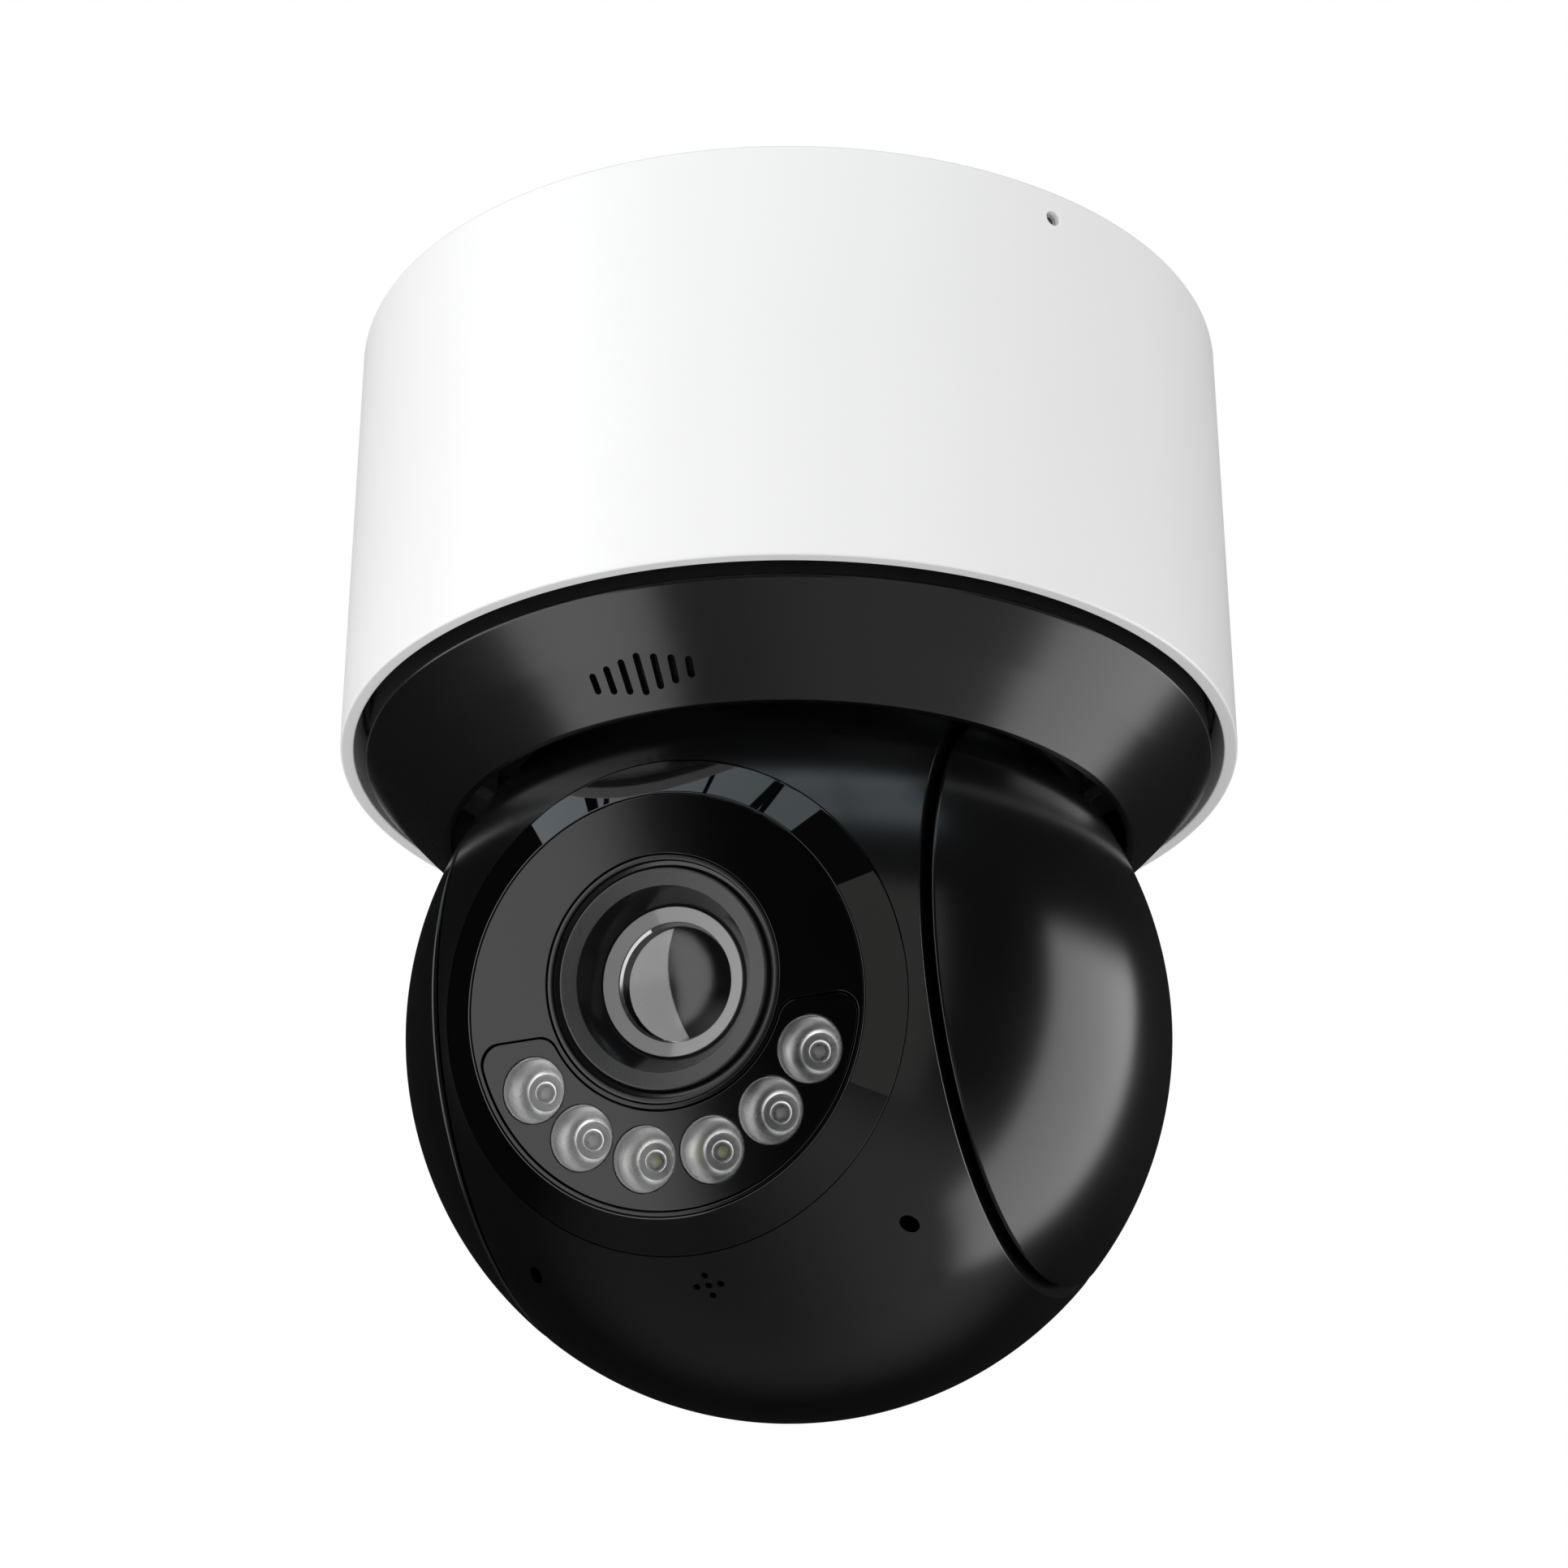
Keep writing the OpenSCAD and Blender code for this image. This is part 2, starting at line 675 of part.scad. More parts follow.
// Upright arm with a foot that bolts under the turntable and a disc that carries the tilt bearing
module yoke_arm(side, bearing_hole, motor_hole) color(alloy) difference() {
    union() {
        sideways(side) translate([0, 0, arm_x]) cylinder(r = arm_disc_r, h = arm_t);
        translate([side < 0 ? -arm_x - arm_t : arm_x, -arm_half, -ball_drop])
            cube([arm_t, 2 * arm_half, pan_plate_z + ball_drop]);
        translate([side < 0 ? -foot_x : arm_x, -arm_half, pan_plate_z - arm_t])
            cube([foot_x - arm_x, 2 * arm_half, arm_t]);
    }
    sideways(side) cylinder(r = bearing_hole, h = far);
    if (motor_hole > 0) sideways(side) translate([tilt_centre, 0, 0]) cylinder(r = motor_hole, h = far);
    sideways(side) for (a = corner_angles) rotate(a) translate([boss_ring_r, 0, 0])
        cylinder(r = m3_r, h = far);
    for (y = [-1, 1]) translate([side * foot_screw_x, y * foot_screw_y, pan_plate_z - far / 2])
        cylinder(r = m3_free_r, h = far);
}

module yoke_arm_left() yoke_arm(-1, bearing_left_r, 0);
module yoke_arm_right() yoke_arm(1, bearing_right_r, tilt_motor_r);

module yoke_screws() color(steel) {
    for (x = [-1, 1], y = [-1, 1]) translate([x * foot_screw_x, y * foot_screw_y, pan_plate_z - arm_t])
        mirror([0, 0, 1]) screw(m3_thread_r, arm_t + 2.6, m3_head_r, m3_head_h);
    for (a = hub_angles) rotate(a) translate([hub_screw_r, 0, pan_plate_z])
        mirror([0, 0, 1]) screw(m3_thread_r, pan_plate_t + 1.6, m3_head_r, m3_head_h);
}

// Side cap of the ball: a shell with an inner flange, screw bosses and a slot for the arm
module cheek(side) color(black_abs) sideways(side) difference() {
    union() {
        difference() {
            intersection() {
                sphere(r = ball_r);
                translate([-far / 2, -far / 2, cheek_x]) cube([far, far, far]);
            }
            sphere(r = cheek_in_r);
        }
        intersection() {
            sphere(r = ball_r - 0.1);
            translate([0, 0, cheek_x]) ring(ball_r, cheek_ring_r, cheek_ring_t);
        }
        intersection() {
            sphere(r = ball_r - 1);
            for (a = corner_angles) rotate(a) translate([boss_ring_r, 0, arm_x + arm_t])
                cylinder(r = boss_r, h = boss_h);
        }
    }
    for (a = corner_angles) rotate(a) translate([boss_ring_r, 0, arm_x])
        cylinder(r = cheek_screw_r, h = cheek_screw_l + 0.4);
    // Slot for the arm, hidden above the skirt's lip
    translate([-arm_half - arm_gap, 30, cheek_x - eps])
        cube([2 * (arm_half + arm_gap), far, arm_x + arm_t + arm_gap - cheek_x]);
}

module cheek_left() cheek(-1);
module cheek_right() cheek(1);

module cheek_screws() color(steel) for (side = [-1, 1]) sideways(side)
    for (a = corner_angles) rotate(a) translate([boss_ring_r, 0, arm_x]) mirror([0, 0, 1])
        screw(cheek_screw_r - 0.02, cheek_screw_l, m3_head_r, m3_head_h);

module tilt_bearing_left() color(steel) sideways(-1) translate([0, 0, bearing_x])
    ring(bearing_left_r, shaft_left_r + running, bearing_t);

module tilt_bearing_right() color(steel) sideways(1) translate([0, 0, bearing_x])
    ring(bearing_right_r, shaft_right_r + running, bearing_t);

module tilt_motor() color(alloy) sideways(1) translate([tilt_centre, 0, tilt_motor_x]) difference() {
    union() {
        cylinder(r = tilt_motor_r, h = tilt_motor_l);
        translate([0, 0, -0.8]) cylinder(r = tilt_motor_r - 1.5, h = 1);
    }
    translate([0, 0, 1]) cylinder(r = tilt_motor_shaft_r + running, h = far);
}

module tilt_pinion() color(brass_tone) sideways(1) translate([tilt_centre, 0, 0]) {
    translate([0, 0, tilt_gear_x])
        gear(tilt_module, tilt_pinion_teeth, 0, tilt_gear_t, 180 - 180 / tilt_pinion_teeth);
    translate([0, 0, tilt_gear_x - 8]) cylinder(r = tilt_motor_shaft_r, h = 8 + eps);
}

// ---------- tilting head: shells ----------

module front_shell() color(black_abs) head() difference() {
    union() {
        difference() {
            ball_slice(ball_r, slice_w);
            ball_slice(ball_r - wall, slice_w - wall);
        }
        intersection() {
            ball_slice(ball_r - 1, slice_w - 1);
            union() {
                for (x = [-1, 1], y = [-1, 1]) translate([x * pin_x, y * pin_up, split_n])
                    cylinder(r = pin_boss_r, h = far);
                translate([0, 0, 46]) ring(bezel_r + 1.6, bezel_r - bezel_seat, seat_ring_t);
            }
        }
    }
    translate([-far / 2, -far / 2, split_n - far]) cube([far, far, far]);
    translate([0, 0, bezel_n - bezel_seat]) cylinder(r = bezel_r, h = far);
    translate([0, 0, 40]) cylinder(r = bezel_r - bezel_seat, h = far);
    // The lower pair of screw holes opens through the front
    for (x = [-1, 1]) translate([x * pin_x, -pin_up, split_n - eps]) cylinder(r = pin_r, h = far);
    for (x = [-1, 1]) translate([x * pin_x, pin_up, split_n - eps]) cylinder(r = pin_r, h = 12);
    rotate([mic_angle, 0, 0]) {
        for (p = [[0, 0], [1, 0], [-1, 0], [0, 1], [0, -1]])
            translate([p[0] * mic_pitch, p[1] * mic_pitch, 0]) cylinder(r = mic_hole_r, h = far, $fn = 24);
        // Room for the microphone beside the bezel's seat
        cylinder(r = mic_r + 0.3, h = mic_seat + mic_h + 0.2);
    }
    rotate([0, 90, 0]) cylinder(r = shaft_right_r, h = far);
    rotate([0, -90, 0]) cylinder(r = shaft_left_r, h = far);
}

module rear_shell() color(black_abs) head() difference() {
    union() {
        difference() {
            ball_slice(ball_r, slice_w);
            ball_slice(ball_r - wall, slice_w - wall);
        }
        intersection() {
            ball_slice(ball_r - 1, slice_w - 1);
            union() {
                for (x = [-1, 1], y = [-1, 1]) translate([x * pin_x, y * pin_up, -far])
                    cylinder(r = pin_boss_r, h = far);
                rotate([service_angle, 0, 0]) for (x = [-1, 1]) {
                    translate([x * 19.5, 0, board_seat + board_t]) cylinder(r = service_boss_r, h = 11);
                    translate([x * service_screw_x, 0, service_boss_n])
                        cylinder(r = service_boss_r, h = service_seat - service_boss_n);
                }
            }
        }
    }
    translate([-far / 2, -far / 2, split_n - gasket_gap]) cube([far, far, far]);
    for (x = [-1, 1]) translate([x * pin_x, -pin_up, pin_seat + 2]) cylinder(r = head_screw_r, h = far);
    for (x = [-1, 1]) translate([x * pin_x, pin_up, -far]) cylinder(r = pin_r, h = far);
    for (x = [-1, 1]) translate([x * pin_x, pin_up, -far]) cylinder(r = 2 * head_screw_r, h = far + pin_seat);
    rotate([service_angle, 0, 0]) {
        translate([0, 0, service_seat]) linear_extrude(10) round_rect(service_w, service_l, service_corner_r);
        linear_extrude(far) round_rect(service_w - 14, service_l - 5, service_corner_r - 1);
        for (x = [-1, 1]) translate([x * service_screw_x, 0, service_boss_n + 0.6])
            cylinder(r = service_screw_r + running, h = 10);
    }
    // Finger notches at the lower front corners
    for (x = [-1, 1]) translate([x * (slice_w - 4), notch_y, split_n - 5]) rotate([notch_lean, 0, 0])
        cube(notch, center = true);
}

module shell_gasket() color(rubber) head() translate([0, 0, split_n - gasket_gap])
linear_extrude(gasket_gap) difference() {
    seam_outline(0.5);
    seam_outline(1.9);
    for (x = [-1, 1], y = [-1, 1]) translate([x * pin_x, y * pin_up]) circle(r = pin_boss_r + gap);
}

// Section of the head at the shells' joint, drawn in by the given distance
module seam_outline(inset) {
    intersection() {
        circle(r = sqrt(ball_r * ball_r - split_n * split_n) - inset);
        square([2 * (slice_w - inset), far], center = true);
    }
}

module head_screws() color(steel) head() {
    rotate([service_angle, 0, 0]) for (x = [-1, 1]) translate([x * service_screw_x, 0, service_seat + 1])
        screw(service_screw_r, 4.6, 1.8, 0.9);
    for (x = [-1, 1]) translate([x * pin_x, -pin_up, 20]) difference() {
        translate([0, 0, -50]) cylinder(r = head_screw_r - running, h = 50);
        translate([0, 0, -1.2]) cylinder(r = 0.7, h = 2, $fn = 6);
    }
    for (x = [-1, 1]) translate([x * pin_x, pin_up, pin_seat]) mirror([0, 0, 1])
        screw(head_screw_r, 28, 2 * head_screw_r - gap, head_screw_h);
}

module tilt_shaft(side, r, bore_r, reach) color(alloy) sideways(side) difference() {
    union() {
        translate([0, 0, slice_w - wall - shaft_flange_t])
            cylinder(r = r + shaft_flange_r, h = shaft_flange_t);
        translate([0, 0, slice_w - wall - eps]) cylinder(r = r, h = reach - slice_w + wall);
    }
    translate([0, 0, -eps]) cylinder(r = bore_r, h = far);
}

module tilt_shaft_left() tilt_shaft(-1, shaft_left_r, 6, 52);
module tilt_shaft_right() tilt_shaft(1, shaft_right_r, 2.5, tilt_gear_x + tilt_gear_t);

module tilt_gear() color(acetal) sideways(1) translate([0, 0, tilt_gear_x])
    gear(tilt_module, tilt_teeth, shaft_right_r, tilt_gear_t, 0);

// ---------- tilting head: face ----------

module bezel() color([0.02, 0.02, 0.02]) head() rotate_extrude() polygon([
    [face_r + 0.15, bezel_n - bezel_seat],
    [bezel_r - gap, bezel_n - bezel_seat],
    [bezel_r - gap, bezel_n + 0.1],
    [bezel_r - gap - 0.25, bezel_n + 0.35],
    [face_r + 0.4, face_n],
    [face_r + 0.15, face_n - 0.15]
]);

// Lens opening and lamp window cut into the face, in the face's own plane
module lens_opening(r) { translate([0, lens_up]) circle(r = r); }

// Arc-shaped lamp window with rounded ends, drawn in by the given distance
module lamp_window(inset) {
    corner = insert_corner;
    band_in = insert_in_r + inset;
    band_out = insert_out_r - inset;
    difference() {
        union() {
            difference() {
                circle(r = band_out);
                lens_opening(band_in);
                translate([-far / 2, insert_top - inset - corner]) square([far, far]);
            }
            for (x = [-1, 1]) {
                outer_c = band_out - corner;
                top_c = insert_top - inset - corner;
                ox = sqrt(outer_c * outer_c - top_c * top_c);
                ix = sqrt(pow(band_in + corner, 2) - pow(lens_up - top_c, 2));
                translate([x * ox, top_c]) circle(r = corner);
                translate([x * ix, top_c]) circle(r = corner);
                translate([x > 0 ? ix : -ox, top_c - eps]) square([ox - ix, corner + eps]);
            }
        }
    }
}

module lamp_spots(r) {
    for (i = [0 : lamps - 1]) translate([0, lamp_ring_up]) rotate(lamp_angle(i))
        translate([lamp_ring_r, 0]) circle(r = r);
}

module face_plate() color(dark_abs) head() {
    translate([0, 0, face_n - face_t]) linear_extrude(face_t) difference() {
        circle(r = face_r);
        lens_opening(lens_hole_r);
        lamp_window(0);
    }
    for (p = face_posts) translate([p[0], p[1], bracket_n + bracket_t])
        cylinder(r = face_post_r, h = face_n - face_t - bracket_n - bracket_t);
}

module lamp_cover() color(dark_abs) head() translate([0, 0, face_n - face_t]) linear_extrude(face_t - 0.15)
difference() {
    lamp_window(insert_gap);
    lamp_spots(lamp_d / 2 + lamp_gap);
}

// Collimator lens for each lamp: a cone that widens to the front, hollow over its emitter
module lamp_lenses() color(clear) head() for (i = [0 : lamps - 1])
    translate([0, lamp_ring_up, 0]) rotate(lamp_angle(i)) translate([lamp_ring_r, 0, 0])
        rotate_extrude() polygon([
            [0, lamp_back_n + 1.5],
            [lamp_cup_r - 0.3, lamp_back_n + 1.1],
            [lamp_cup_r, lamp_back_n],
            [lamp_neck_r, lamp_back_n],
            [lamp_d / 2 - 0.3, face_n - 2.5],
            [lamp_d / 2, face_n - 1.9],
            [lamp_d / 2, face_n - 0.3],
            [lamp_d / 2 - 0.6, face_n - 0.05],
            [0, face_n + 0.1]
        ]);

module lamp_board() color(board) head() {
    translate([0, 0, lamp_board_n]) linear_extrude(board_t) difference() {
        circle(r = insert_out_r - 0.6);
        lens_opening(insert_in_r + 0.6);
        translate([-far / 2, insert_top - 1]) square([far, far]);
    }
    color([0.9, 0.85, 0.5]) for (i = [0 : lamps - 1]) translate([0, lamp_ring_up, lamp_board_n + board_t])
        rotate(lamp_angle(i)) translate([lamp_ring_r - emitter / 2, -emitter / 2, 0])
            cube([emitter, emitter, 1]);
}

// ---------- tilting head: camera module ----------

module lens_trim() color(black_abs) head() translate([0, lens_up, 0]) rotate_extrude() polygon([
    [hood_r + gap, lens_seat],
    [trim_r, lens_seat],
    [trim_r, face_n - 0.5],
    [trim_r - 0.4, face_n - 0.2],
    [trim_r - 0.8, face_n - 0.2],
    [trim_r - 1, face_n - 0.9],
    [hood_r + 0.5, face_n - 1.1],
    [hood_r + gap, face_n - 1.3]
]);

// Grained ring round the lens, with a glossy funnel inside
module lens_hood() color(dark_abs) head() translate([0, lens_up, 0]) rotate_extrude() polygon([
    [glass_r + gap, lens_seat],
    [hood_r, lens_seat],
    [hood_r, face_n - 0.4],
    [hood_r - 0.35, face_n - 0.1],
    [hood_in_r + 0.2, face_n - 0.5],
    [hood_in_r, face_n - 0.7],
    [glass_r + 0.2, lens_seat + 1.6]
]);

module lens_barrel() color(dark_abs) head() translate([0, lens_up, 0]) {
    difference() {
        union() {
            translate([0, 0, barrel_low_n]) cylinder(r = barrel_r, h = lens_seat - barrel_low_n);
            translate([0, -lens_up, bracket_n]) linear_extrude(bracket_t) difference() {
                circle(r = bracket_r);
                for (p = face_posts) translate(p) circle(r = 1);
            }
            translate([0, 0, barrel_mount_n]) linear_extrude(barrel_low_n - barrel_mount_n + eps)
                round_rect(sink_w, sink_w, 3);
        }
        translate([0, 0, barrel_low_n + 2]) cylinder(r = barrel_bore_r, h = far);
        cylinder(r = 6.4, h = far);
        translate([-filter_room / 2, -filter_half - 0.3, filter_n - 0.2])
            cube([filter_room, 2 * filter_half + 0.6, filter_t + 0.4]);
    }
}

// Sliding frame with an infrared-cut window and a clear one
module filter_slide() head() translate([0, lens_up, filter_n]) {
    color(dark_abs) linear_extrude(filter_t) difference() {
        translate([-5 - filter_travel, -filter_half]) square([10 + filter_travel, 2 * filter_half]);
        for (x = [-filter_travel, 0]) translate([x, 0]) circle(r = filter_window_r);
    }
    color(clear) for (x = [-filter_travel, 0]) translate([x, 0, 0.5]) cylinder(r = filter_window_r, h = 0.6);
}

module front_lens() color(clear) head() translate([0, lens_up, 0]) intersection() {
    cap_r = (glass_r * glass_r + glass_rise * glass_rise) / (2 * glass_rise);
    translate([0, 0, lens_seat + glass_rise - cap_r + 0.9]) sphere(r = cap_r);
    translate([0, 0, lens_seat - 1]) cylinder(r = glass_r, h = 20);
}

// Lens cell: a ring with a lens in it
module lens_cell(z, r, lens_r, height) translate([0, lens_up, z]) {
    color(black_abs) difference() {
        cylinder(r = r, h = height);
        translate([0, 0, -eps]) cylinder(r = lens_r, h = height + 2 * eps);
    }
    color(clear) intersection() {
        translate([0, 0, height / 2 - 30]) sphere(r = 31.6);
        translate([0, 0, height / 2 + 30]) sphere(r = 31.6);
        translate([0, 0, -height]) cylinder(r = lens_r, h = 3 * height);
    }
}

module zoom_group() head() lens_cell(zoom_n, cell_r, 11, 5);
module focus_group() head() lens_cell(focus_n, cell_r, 8, 4);

module sensor_board() head() {
    color(board) translate([0, lens_up, sensor_board_n]) linear_extrude(board_t)
        round_rect(sensor_board_w, sensor_board_w, 2);
    color(dark_abs) translate([0, lens_up, sensor_board_n + board_t - eps]) chip([0, 0], [9.2, 7.2, 1.4]);
    color(alloy) for (y = [-15 : 5 : 15]) translate([0, lens_up, 1])
        chip([0, y], [sink_w, sink_fin_t, sink_fin_h]);
    color(alloy) translate([0, lens_up, sensor_board_n - 2]) chip([0, 0], [sink_w, sink_w, 2 + eps]);
}

module microphone() color(steel) head() rotate([mic_angle, 0, 0]) translate([0, 0, mic_seat]) difference() {
    cylinder(r = mic_r, h = mic_h);
    translate([0, 0, mic_h - 0.8]) cylinder(r = mic_r - 0.8, h = 1);
}

// ---------- tilting head: service hatch ----------

module service_cover() color(black_abs) head() intersection() {
    sphere(r = ball_r, $fn = 360);
    rotate([service_angle, 0, 0]) translate([0, 0, service_seat]) {
        linear_extrude(1) difference() {
            round_rect(service_w - service_gap, service_l - service_gap, service_corner_r - gap);
            for (x = [-1, 1]) translate([x * service_screw_x, 0]) circle(r = service_screw_r + running);
        }
        translate([0, 0, 1]) linear_extrude(10) difference() {
            round_rect(service_w - service_gap, service_l - service_gap, service_corner_r - gap);
            for (x = [-1, 1]) translate([x * service_screw_x, 0]) circle(r = 2 * service_screw_r);
        }
    }
}

// Small board under the hatch with the memory card socket and the reset switch
module service_board() head() rotate([service_angle, 0, 0]) {
    color(board) translate([0, 0, board_seat]) linear_extrude(board_t) round_rect(44, 16, 2);
    color(steel) translate([-8, -7, board_seat + board_t - eps]) cube([11, 14, 1.5]);
    color(dark_abs) translate([reset_x, 0, board_seat + board_t - eps]) difference() {
        translate([-2.2, -2.2, 0]) cube([4.4, 4.4, 2.4]);
        translate([0, 0, 0.8]) cylinder(r = reset_r + running, h = 3);
    }
}

module reset_button() color(acetal) head() rotate([service_angle, 0, 0])
    translate([reset_x, 0, board_seat + board_t + 1.5]) cylinder(r = reset_r, h = 2.6);

mounting_plate();
housing();
set_screw();
top_cover();
cover_gasket();
base_screws();
cable_gland();
main_board();
network_jack();
power_jack();
power_board();
board_posts();
chassis_plate();
pan_bearing();
pan_motor();
slip_ring_body();
slip_ring_bridge();
skirt();
speaker();
grille_cloth();
pan_pinion();
pan_hub();
pan_gear();
hub_ring();
slip_ring_rotor();
pan_plate();
yoke_arm_left();
yoke_arm_right();
yoke_screws();
cheek_left();
cheek_right();
cheek_screws();
tilt_bearing_left();
tilt_bearing_right();
tilt_motor();
tilt_pinion();
front_shell();
rear_shell();
shell_gasket();
head_screws();
tilt_shaft_left();
tilt_shaft_right();
tilt_gear();
bezel();
face_plate();
lamp_cover();
lamp_lenses();
lamp_board();
lens_trim();
lens_hood();
lens_barrel();
front_lens();
zoom_group();
focus_group();
filter_slide();
sensor_board();
microphone();
service_cover();
service_board();
reset_button();
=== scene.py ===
import json
import math

import bmesh
import bpy
import numpy as np
from mathutils import Matrix, Vector

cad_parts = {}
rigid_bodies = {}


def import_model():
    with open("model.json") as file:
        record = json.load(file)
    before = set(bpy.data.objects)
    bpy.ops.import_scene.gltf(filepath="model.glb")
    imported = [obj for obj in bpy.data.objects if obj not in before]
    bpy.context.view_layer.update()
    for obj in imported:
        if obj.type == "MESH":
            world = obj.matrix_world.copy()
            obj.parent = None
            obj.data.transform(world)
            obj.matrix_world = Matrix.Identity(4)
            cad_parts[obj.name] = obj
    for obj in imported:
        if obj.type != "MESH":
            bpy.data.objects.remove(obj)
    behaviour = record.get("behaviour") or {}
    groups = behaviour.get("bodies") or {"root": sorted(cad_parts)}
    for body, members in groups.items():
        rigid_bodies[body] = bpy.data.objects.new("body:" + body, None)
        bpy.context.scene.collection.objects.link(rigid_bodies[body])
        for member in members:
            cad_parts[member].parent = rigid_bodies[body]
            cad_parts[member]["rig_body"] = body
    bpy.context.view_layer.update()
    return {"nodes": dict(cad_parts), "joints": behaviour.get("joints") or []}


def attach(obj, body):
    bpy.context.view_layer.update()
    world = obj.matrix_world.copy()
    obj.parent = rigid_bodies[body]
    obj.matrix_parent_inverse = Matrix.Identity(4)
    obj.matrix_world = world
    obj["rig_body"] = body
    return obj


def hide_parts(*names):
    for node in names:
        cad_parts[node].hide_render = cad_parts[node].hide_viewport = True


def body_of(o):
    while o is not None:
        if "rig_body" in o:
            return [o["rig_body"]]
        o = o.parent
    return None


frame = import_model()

scene = bpy.context.scene

# ---------- sizes taken from the frame, in millimetres ----------

MM = 0.001
ROUND = 288
BALL_ROUND = 320
LAMP_ROUND = 96
HOLE_ROUND = 48
JOINTS = {joint["name"]: joint for joint in frame["joints"]}
BALL = Vector(JOINTS["tilt"]["pos_m"])
ACROSS = Vector(JOINTS["tilt"]["axis"])
AHEAD = Vector(JOINTS["zoom"]["axis"]).normalized()
UP = AHEAD.cross(ACROSS)


def placed(x_axis, y_axis, z_axis, origin):
    """Matrix of a local frame from its three directions and its origin in metres."""
    turn = Matrix((x_axis, y_axis, z_axis)).transposed()
    return Matrix.Translation(origin) @ turn.to_4x4()


BASE = Matrix.Identity(4)
HEAD = placed(ACROSS, UP, AHEAD, BALL)
LENS_UP = 4.2
LENS = HEAD @ Matrix.Translation((0, LENS_UP * MM, 0))
RIGHT = placed(Vector((0, 1, 0)), Vector((0, 0, 1)), Vector((1, 0, 0)), BALL)
LEFT = placed(Vector((0, -1, 0)), Vector((0, 0, 1)), Vector((-1, 0, 0)), BALL)


def local_box(node, place):
    """Lowest and highest corners of a CAD node in a local frame, in millimetres."""
    mesh = frame["nodes"][node].data
    points = np.empty(len(mesh.vertices) * 3)
    mesh.vertices.foreach_get("co", points)
    back = np.array(place.inverted())
    local = points.reshape(-1, 3) @ back[:3, :3].T + back[:3, 3]
    return local.min(axis=0) / MM, local.max(axis=0) / MM


HOUSING_LOW, HOUSING_HIGH = local_box("housing", BASE)
SKIRT_LOW, SKIRT_HIGH = local_box("skirt", BASE)
PLATE_HIGH = local_box("mounting_plate", BASE)[1]
CHEEK_LOW, CHEEK_HIGH = local_box("cheek_right", RIGHT)
SHELL_LOW, SHELL_HIGH = local_box("front_shell", HEAD)
BEZEL_LOW, BEZEL_HIGH = local_box("bezel", HEAD)
FACE_HIGH = local_box("face_plate", HEAD)[1]
LAMP_LOW, LAMP_HIGH = local_box("lamp_lenses", HEAD)
TRIM_LOW, TRIM_HIGH = local_box("lens_trim", LENS)
HOOD_LOW, HOOD_HIGH = local_box("lens_hood", LENS)
GLASS_HIGH = local_box("front_lens", LENS)[1]

WALL = 2.4
PLATE_GAP = 0.3
FIT = 0.1
BEZEL_DEPTH = 3
HOUSING_R = HOUSING_HIGH[0]
HOUSING_H = -HOUSING_LOW[2]
SHELL_IN_R = PLATE_HIGH[0] + PLATE_GAP
HOUSING_TOP_R = SHELL_IN_R + WALL
BALL_R = CHEEK_HIGH[2]
CHEEK_X = CHEEK_LOW[2]
SLICE_X = SHELL_HIGH[0]
SPLIT_N = SHELL_LOW[2]
FACE_N = FACE_HIGH[2]
FACE_R = FACE_HIGH[0]
BEZEL_R = BEZEL_HIGH[0]
BEZEL_N = BEZEL_LOW[2] + BEZEL_DEPTH
LENS_HOLE_R = TRIM_HIGH[0] + FIT
SERVICE_ANGLE = 128
SERVICE = HEAD @ Matrix.Rotation(math.radians(SERVICE_ANGLE), 4, "X")

# ---------- outlines and meshes, drawn in millimetres in a local frame ----------

SAME_POINT = 1e-5
ON_AXIS = 1e-4


def arc(centre, radius, start, end, steps):
    """Points on an arc, angles in degrees."""
    points = []
    for k in range(steps + 1):
        t = math.radians(start + (end - start) * k / steps)
        points.append((centre[0] + radius * math.cos(t), centre[1] + radius * math.sin(t)))
    return points


def soften(corners, steps=5):
    """Closed outline from corners (x, y, radius); a corner with a radius becomes an arc."""
    points = []
    for i, corner in enumerate(corners):
        here = Vector(corner[:2])
        radius = corner[2] if len(corner) > 2 else 0
        if radius <= 0:
            points.append(tuple(here))
            continue
        before = (Vector(corners[i - 1][:2]) - here).normalized()
        after = (Vector(corners[(i + 1) % len(corners)][:2]) - here).normalized()
        half = before.angle(after) / 2
        centre = here + (before + after).normalized() * radius / math.sin(half)
        first = here + before * radius / math.tan(half) - centre
        last = here + after * radius / math.tan(half) - centre
        turn = math.atan2(first.x * last.y - first.y * last.x, first.dot(last))
        start = math.atan2(first.y, first.x)
        for k in range(steps + 1):
            t = start + turn * k / steps
            points.append((centre.x + radius * math.cos(t), centre.y + radius * math.sin(t)))
    return points


def finished(name, bm, place, sharp=40, weighted=True):
    """Object from a bmesh, smooth except at edges sharper than the given angle."""
    bmesh.ops.remove_doubles(bm, verts=bm.verts, dist=SAME_POINT)
    bmesh.ops.recalc_face_normals(bm, faces=bm.faces)
    bm.transform(place @ Matrix.Scale(MM, 4))
    mesh = bpy.data.meshes.new(name)
    bm.to_mesh(mesh)
    bm.free()
    piece = bpy.data.objects.new(name, mesh)
    scene.collection.objects.link(piece)
    shade(piece, sharp, weighted)
    return piece


def shade(piece, sharp=40, weighted=True):
    """Smooth shading that stops at sharp edges and, if weighted, follows the larger faces."""
    mesh = piece.data
    mesh.polygons.foreach_set("use_smooth", [True] * len(mesh.polygons))
    mesh.set_sharp_from_angle(angle=math.radians(sharp))
    if weighted:
        modifier = piece.modifiers.new("normals", "WEIGHTED_NORMAL")
        modifier.keep_sharp = True


